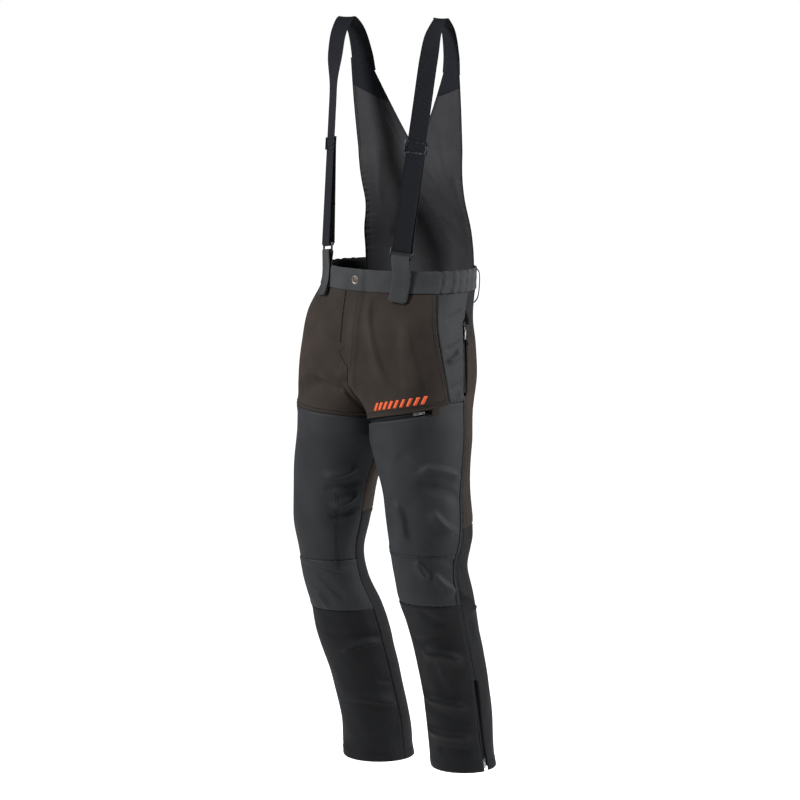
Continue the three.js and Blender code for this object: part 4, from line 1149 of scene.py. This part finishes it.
def braces(side):
    sign = SIDES[side]["sign"]

    def place(x, y, z):
        return Vector((sign * x, y, z))

    low, high = place(*WEB_LOW), place(*WEB_HIGH)
    along = (high - low).normalized()
    facing = place(math.sin(WEB_YAW), -math.cos(WEB_YAW), 0)
    facing = (facing - along * facing.dot(along)).normalized()
    across = along.cross(facing)

    def beside(up, out):
        return low + along * up + facing * out

    def round_bar(up, out, radius, over, count=12):
        turns = [math.pi * (1 - k / count) for k in range(count + 1)]
        return [beside(up + over * radius * math.sin(a), out + radius * math.cos(a)) for a in turns]

    loop = RING_BAR / 2 + LOOP_PLAY + WEB / 2
    under = round_bar(0, -loop, loop, -1)
    straight = [low.lerp(high, k / 40) for k in range(1, 31)]
    corner = low.lerp(high, 0.75)
    arch = centripetal([corner, high, *(place(*p) for p in WEB_ARCH)], 12)[1:]
    route = [*under, *straight, *arch]
    start = len(under) + len(straight)
    sideways = Vector((1, -sign * 0.235, 0))
    eased_yaw = 0.5 if side == "right" else 0

    def crosswise(k):
        if k < start:
            return across
        # The turn happens over the same stretch of the arch as in the solid.
        at = (k - start) / len(arch) * 22
        first = Matrix.Rotation(eased_yaw * smooth(0.3, 4, at), 3, along) @ across
        return first.lerp(sideways, smooth(1, 12, at))

    web, length = band(f"brace_webbing_{side}_cloth", route, WEB_WIDTH, WEB, crosswise, "elastic_webbing",
                       "trousers", [f"brace_webbing_{side}"])
    facing_fixed(web, -along)

    # A dark sheet along the back run down to the horn, wider towards the horn, is painted shade for the
    # darkening of the horn's top.
    tail = [p + Vector((-sign * mix(1, 9, k / 36), -1.7, 0)) for k, p in enumerate(arch[-37:])]
    cap, length = band(f"horn_shade_sheet_{side}", tail, 44, 0.9, lambda k: sideways, "elastic_webbing",
                       "trousers", (), width_at=lambda at, total: mix(38, 58, at / total))
    facing_fixed(cap, Vector((0, -1, 0)))

    bar_back = -WEB / 2 - CLEARANCE - 0.9
    ends = [beside(CLEARANCE, -2 * loop), beside(ADJUSTER_UP - 2 - CLEARANCE, bar_back - 0.4)]
    back, length = band(f"brace_return_{side}_cloth", [ends[0].lerp(ends[1], k / 40) for k in range(41)],
                        WEB_WIDTH, WEB, lambda k: across, "elastic_webbing", None, ())
    facing_fixed(back, facing)
    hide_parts(f"brace_return_{side}")
    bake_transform(back)

    rounded(f"adjuster_{side}", 0.7, "dark_metal", f"adjuster_{side}", "dark_metal")
    rounded(f"ring_{side}", 1.3, "dark_metal", f"ring_{side}", "dark_metal", 3)

    bar = RING_HEIGHT - RING_BAR
    bend = RING_BAR / 2 + TAB_PLAY + TAB_CLOTH / 2

    def on_front(depth, layers):
        return above(side, TAB_SHARE, depth, 2.4 + TAB_CLOTH / 2 + layers * (TAB_CLOTH + CLEARANCE))

    def eased(layers):
        depths = [TAB_END, TAB_END / 2, 6]
        return centripetal([on_front(d, layers) for d in depths], 8)

    inner, outer = eased(0), list(reversed(eased(1)))
    over = round_bar(-bar, -loop, bend, 1)
    line = [*inner, *over, *outer]

    def tab_width(at, total):
        corner_round = 6
        end = min(at, total - at)
        if end >= corner_round:
            return TAB_WIDTH
        return TAB_WIDTH - 2 * (corner_round - math.sqrt(corner_round ** 2 - (corner_round - end) ** 2))

    tab, length = band(f"front_tab_{side}_cloth", line, TAB_WIDTH, TAB_CLOTH, lambda k: across,
                       "band_cloth", "trousers", [f"front_tab_{side}"], width_at=tab_width)
    facing_fixed(tab, normal_at(side, TAB_SHARE, 60) * -1)
    box = Thread()
    face = normal_at(side, TAB_SHARE, 50)
    lift = 2.4 + 2 * TAB_CLOTH + CLEARANCE + 0.1

    def tab_spot(x, depth):
        return above(side, TAB_SHARE, depth, lift) + across * x, face

    for x in (-15.5, 15.5):
        box.line([tab_spot(x, d) for d in steps(8, TAB_END - 4, 6)])
    for depth in (TAB_END - 4, 46, 12):
        box.line([tab_spot(x, depth) for x in steps(-15.5, 15.5, 4)])
    box.finish(f"tab_stitching_{side}", "thread_dark")

    places = centripetal([above(side, LOOP_SHARE, d, out) for d, out in
                          [(3, 1.6), (10, 7), (LOOP_END / 2, 9), (LOOP_END - 10, 7), (LOOP_END, 1.8)]], 8)
    width = surface(side, LOOP_SHARE + 0.01, 40) - surface(side, LOOP_SHARE, 40)
    belt, length = band(f"belt_loop_{side}_cloth", places, 14, WEB, lambda k: width, "elastic_webbing",
                        "trousers", [f"belt_loop_{side}"])
    facing_fixed(belt, normal_at(side, LOOP_SHARE, 5))


# ---------- Zips ----------
def zip_tape(name, point_at, length):
    """`point_at(x, y, z)` gives metres for a place across, along and above the tape's face."""
    rows = max(24, round(length / 6))
    bm = grid_piece(spaced(ZIP_WIDTH, 1.5, (0.5,)), [k / rows for k in range(rows + 1)],
                    lambda i, j: point_at((i - 0.5) * ZIP_WIDTH, j * length, 0) * MM,
                    lambda i, j: ((i - 0.5) * 0.018, j * length * MM),
                    lambda c: point_at(0, length / 2, 5) - point_at(0, length / 2, 0))
    tape = piece_from(bm, f"{name}_tape_cloth", [LOOKS["zip_tape"]], "trousers",
                      [f"{name}_tape"], "zip_tape")
    thicken(tape, 1.0 * MM)
    teeth = bmesh.new()
    for k in range(int(length / TOOTH_PITCH)):
        y = (k + 0.5) * TOOTH_PITCH
        at = point_at(TOOTH_OFFSET if k % 2 else -TOOTH_OFFSET, y, TOOTH_OFFSET)
        x_way = (point_at(1, y, TOOTH_OFFSET) - point_at(0, y, TOOTH_OFFSET)).normalized()
        y_way = (point_at(0, y + 0.5, TOOTH_OFFSET) - point_at(0, y - 0.5, TOOTH_OFFSET)).normalized()
        turn = Matrix((x_way, y_way, x_way.cross(y_way))).transposed().to_4x4()
        size = Matrix.Diagonal((*(edge * MM for edge in TOOTH), 1))
        bmesh.ops.create_cube(teeth, size=1, matrix=Matrix.Translation(at * MM) @ turn @ size)
    piece_from(teeth, f"{name}_teeth", [LOOKS["teeth"]], "trousers", (), "zip_tape",
               smooth_faces=False)


def straight_zip(name, start, end, outward, sink):
    """A zip along a straight line, `sink` millimetres behind the surface."""
    way = (end - start).normalized()
    across = way.cross(outward).normalized()
    up = across.cross(way)
    base = start - outward * sink
    zip_tape(name, lambda x, y, z: base + across * x + way * y + up * z, (end - start).length)


def zips():
    for side in ("left", "right"):
        hem = SIDES[side]["hem"]
        spans = {
            f"hand_pocket_zip_{side}": (*POCKET_ZIP, 3, sum(POCKET_ZIP) / 2),
            f"leg_zip_{side}": (LEG_ZIP_TOP, hem - LEG_ZIP_OPEN, SIDES[side]["zip_sink"],
                                (LEG_ZIP_TOP + hem) / 2),
        }
        for name, (top, bottom, sink, middle) in spans.items():
            straight_zip(name, surface(side, outseam(side, top), top),
                         surface(side, outseam(side, bottom), bottom),
                         normal_at(side, outseam(side, middle), middle), sink)
    straight_zip("fly_zip", surface("left", 0, WAISTBAND_HEIGHT + 16), surface("left", 0, FLY_END - 20),
                 normal_at("left", 0, 130), 12)

    shares = (THIGH_ZIP[0] + 0.02, sum(THIGH_ZIP) / 2, THIGH_ZIP[1] - 0.02)
    first, middle, last = (surface("left", s, yoke_seam("left", s) + ZIP_SLOT / 2) for s in shares)
    to_first, to_last = first - middle, last - middle
    crossed = to_first.cross(to_last)
    centre = (crossed.cross(to_first) * to_last.length_squared
              + to_last.cross(crossed) * to_first.length_squared) / (2 * crossed.length_squared) + middle
    axis = (last - middle).cross(first - middle).normalized()
    x_way = (first - centre).normalized()
    if axis.cross(x_way).dot(last - first) < 0:
        axis = -axis
    y_way = axis.cross(x_way)
    radius = (first - centre).length - 5
    sweep = x_way.angle(last - centre)

    def on_arc(x, y, z):
        angle = y / radius
        out = x_way * math.cos(angle) + y_way * math.sin(angle)
        return centre + out * (radius + z) - axis * x

    zip_tape("thigh_pocket_zip", on_arc, radius * sweep)
    for name in ("hand_pocket_zip_left", "hand_pocket_zip_right", "leg_zip_left", "leg_zip_right",
                 "thigh_pocket_zip", "fly_zip"):
        slider_look = "antique_metal" if name in ("thigh_pocket_zip", "fly_zip") else "dark_metal"
        rounded(f"{name}_slider", 0.22, slider_look, f"{name}_slider", "dark_metal")
        rounded(f"{name}_pull", 0.3, "zip_pull", f"{name}_pull", "zip_pull")


# ---------- Stud, fly guard and print ----------
def stud():
    low, high = (Vector(c) * 1000 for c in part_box("stud_cap"))
    centre = (low + high) / 2
    base, top = high.y, low.y
    profile = [(0, 0.9), (3.0, 1.1), (4.4, 1.0), (5.0, 0.75), (5.6, 1.0), (6.4, 1.7), (7.4, 2.2), (8.4, 2.2),
               (9.2, 1.6), (9.5, 0.8), (9.4, 0.1), (8.8, 0), (0, 0)]
    bm = bmesh.new()
    verts = [bm.verts.new(((centre.x + r) * MM, (base - h) * MM, centre.z * MM)) for r, h in profile]
    edges = [bm.edges.new(pair) for pair in zip(verts, verts[1:])]
    bmesh.ops.spin(bm, geom=verts + edges, cent=(centre.x * MM, base * MM, centre.z * MM), axis=(0, 1, 0),
                   angle=TAU, steps=40, use_merge=True)
    bmesh.ops.remove_doubles(bm, verts=bm.verts, dist=1e-6)
    bmesh.ops.recalc_face_normals(bm, faces=bm.faces)
    for face in bm.faces:
        reach = (face.calc_center_median() - Vector((centre.x, base, centre.z)) * MM)
        if math.hypot(reach.x, reach.z) < 4.9 * MM:
            face.material_index = 1
    piece_from(bm, "stud_cap_finished", [LOOKS["antique_metal"], LOOKS["copper"]], "trousers", ["stud_cap"],
               "antique_metal")
    rounded("stud_base", 0.4, "antique_metal", "trousers", "antique_metal")


def fly_guard():
    def at(i, j):
        depth = mix(WAISTBAND_HEIGHT + 4, FLY_END - 6, j)
        return mix(-FLAP_REACH / stride("left", 0, depth), 0.06, i), depth

    def place(i, j):
        share, depth = at(i, j)
        inward = mix(2.5, 16, smooth(-0.055, -0.035, share))
        return above("left", share, depth, -inward) * MM

    bm = grid_piece(spaced(50, 4, ()), spaced(180, 8, ()), place, lambda i, j: (i * 0.05, -j * 0.18),
                    lambda c: normal_at("left", 0, 120))
    obj = piece_from(bm, "fly_guard_cloth", [LOOKS["black_nylon"]], "trousers", ["fly_guard"], "black_nylon")
    thicken(obj, 1.0 * MM)
    declare("left", at)


def print_marks():
    """A row of plain slanted bars printed above the thigh pocket."""
    bm = bmesh.new()
    uv = bm.loops.layers.uv.verify()
    count, wide, tall, slant = 9, 3.6, 17, 7
    for k in range(count):
        centre = mix(0.2, 0.375, k / (count - 1))
        before = len(bm.verts)
        bmesh.ops.create_grid(bm, x_segments=2, y_segments=6, size=1)
        bm.verts.ensure_lookup_table()
        for vert in bm.verts[before:]:
            i, j = vert.co.x, (1 - vert.co.y) / 2
            depth = yoke_seam("left", centre) - 12 - tall * (1 - j)
            share = centre + (i * wide + (0.5 - j) * slant) / stride("left", centre, depth)
            edge = yoke_seam("left", share) - depth
            out = folded("left", share, depth) * min(1, edge / FOLD_EASE) + seam_profile(edge)
            vert.co = above("left", share, depth, out + 0.45) * MM
            for loop in vert.link_loops:
                loop[uv].uv = (i * 0.003, j * 0.017)
    bm.normal_update()
    bm.faces.ensure_lookup_table()
    if bm.faces[0].normal.dot(normal_at("left", 0.28, 270)) < 0:
        bmesh.ops.reverse_faces(bm, faces=bm.faces)
    marks = piece_from(bm, "thigh_print", [LOOKS["orange_print"]], "trousers", (), "softshell")
    thicken(marks, 0.4 * MM)


def zip_patch():
    """A small brown patch closes the outer end of the thigh pocket's zip."""
    def place(i, j):
        share = mix(0.402, 0.428, i)
        depth = yoke_seam("left", share) + mix(1, 16, j)
        edge = min(i * 12, (1 - i) * 12, j * 15, (1 - j) * 15)
        return above("left", share, depth, 1.0 + 0.5 * min(1, edge / 2) + seam_profile(6)) * MM
    bm = grid_piece(spaced(12, 2), spaced(15, 2), place, lambda i, j: (i * 0.012, -j * 0.015),
                    lambda c: normal_at("left", 0.41, 285))
    patch = piece_from(bm, "zip_end_patch", [LOOKS["softshell"]], "trousers", (), "softshell")
    thicken(patch, 1.0 * MM)


def zip_welt():
    """A raised strip of the front's cloth shields the thigh pocket's zip from above."""
    def place(i, j):
        share = mix(0.075, 0.465, i)
        depth = yoke_seam("left", share) + mix(-3, 2, j)
        ends = min(1, min(i, 1 - i) * 60)
        return above("left", share, depth, 0.6 + 1.9 * ends * math.sin(math.pi * (0.15 + 0.85 * j))) * MM
    bm = grid_piece(spaced(170, 3), spaced(5.4, 1, ()), place, lambda i, j: (i * 0.17, -j * 0.006),
                    lambda c: normal_at("left", 0.27, 285))
    welt = piece_from(bm, "zip_welt", [LOOKS["softshell"]], "trousers", (), "softshell")
    thicken(welt, 1.1 * MM)


def pull_cords():
    """Loops of cord through the pulls that gloved hands have to find."""
    for node in ("thigh_pocket_zip_pull", "hand_pocket_zip_left_pull", "hand_pocket_zip_right_pull"):
        low, high = (Vector(c) * 1000 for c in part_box(node))
        side = "right" if "right" in node else "left"
        if node.startswith("thigh"):
            start = Vector((high.x, (low.y + high.y) / 2, (low.z + high.z) / 2))
            way = (surface("left", 0.43, 282) - surface("left", 0.38, 282)).normalized()
            way = (way + Vector((0, 0, -0.35))).normalized()
            out = normal_at("left", 0.4, 285)
        else:
            start = Vector(((low.x + high.x) / 2, (low.y + high.y) / 2, low.z))
            out = normal_at(side, 0.54, 140)
            start += out * 1.5
            way = (Vector((0, 0, -1)) + out * 0.35).normalized()
        cross = way.cross(out)
        loop = []
        for k in range(25):
            turn = TAU * k / 24
            loop.append(start - way * 1.5 + out * 1.2 + way * PULL_CORD_REACH * 0.5 * (1 - math.cos(turn))
                        + cross * 2.2 * math.sin(turn) * (1 - 0.4 * math.cos(turn)))
        tube(f"{node}_cord", loop, 0.9, "black_nylon", node)


camera()
studio()
for side in ("left", "right"):
    trouser_panels(side)
    inner_layers(side)
    seams(side)
    braces(side)
inner_layer("thigh_pocket_bag", "left", "mesh_lining", 0.18, 0.4, 315, 455, lambda share, depth: 4.1, 0.6)
waistband()
bib()
zips()
stud()
fly_guard()
print_marks()
zip_patch()
zip_welt()
pull_cords()
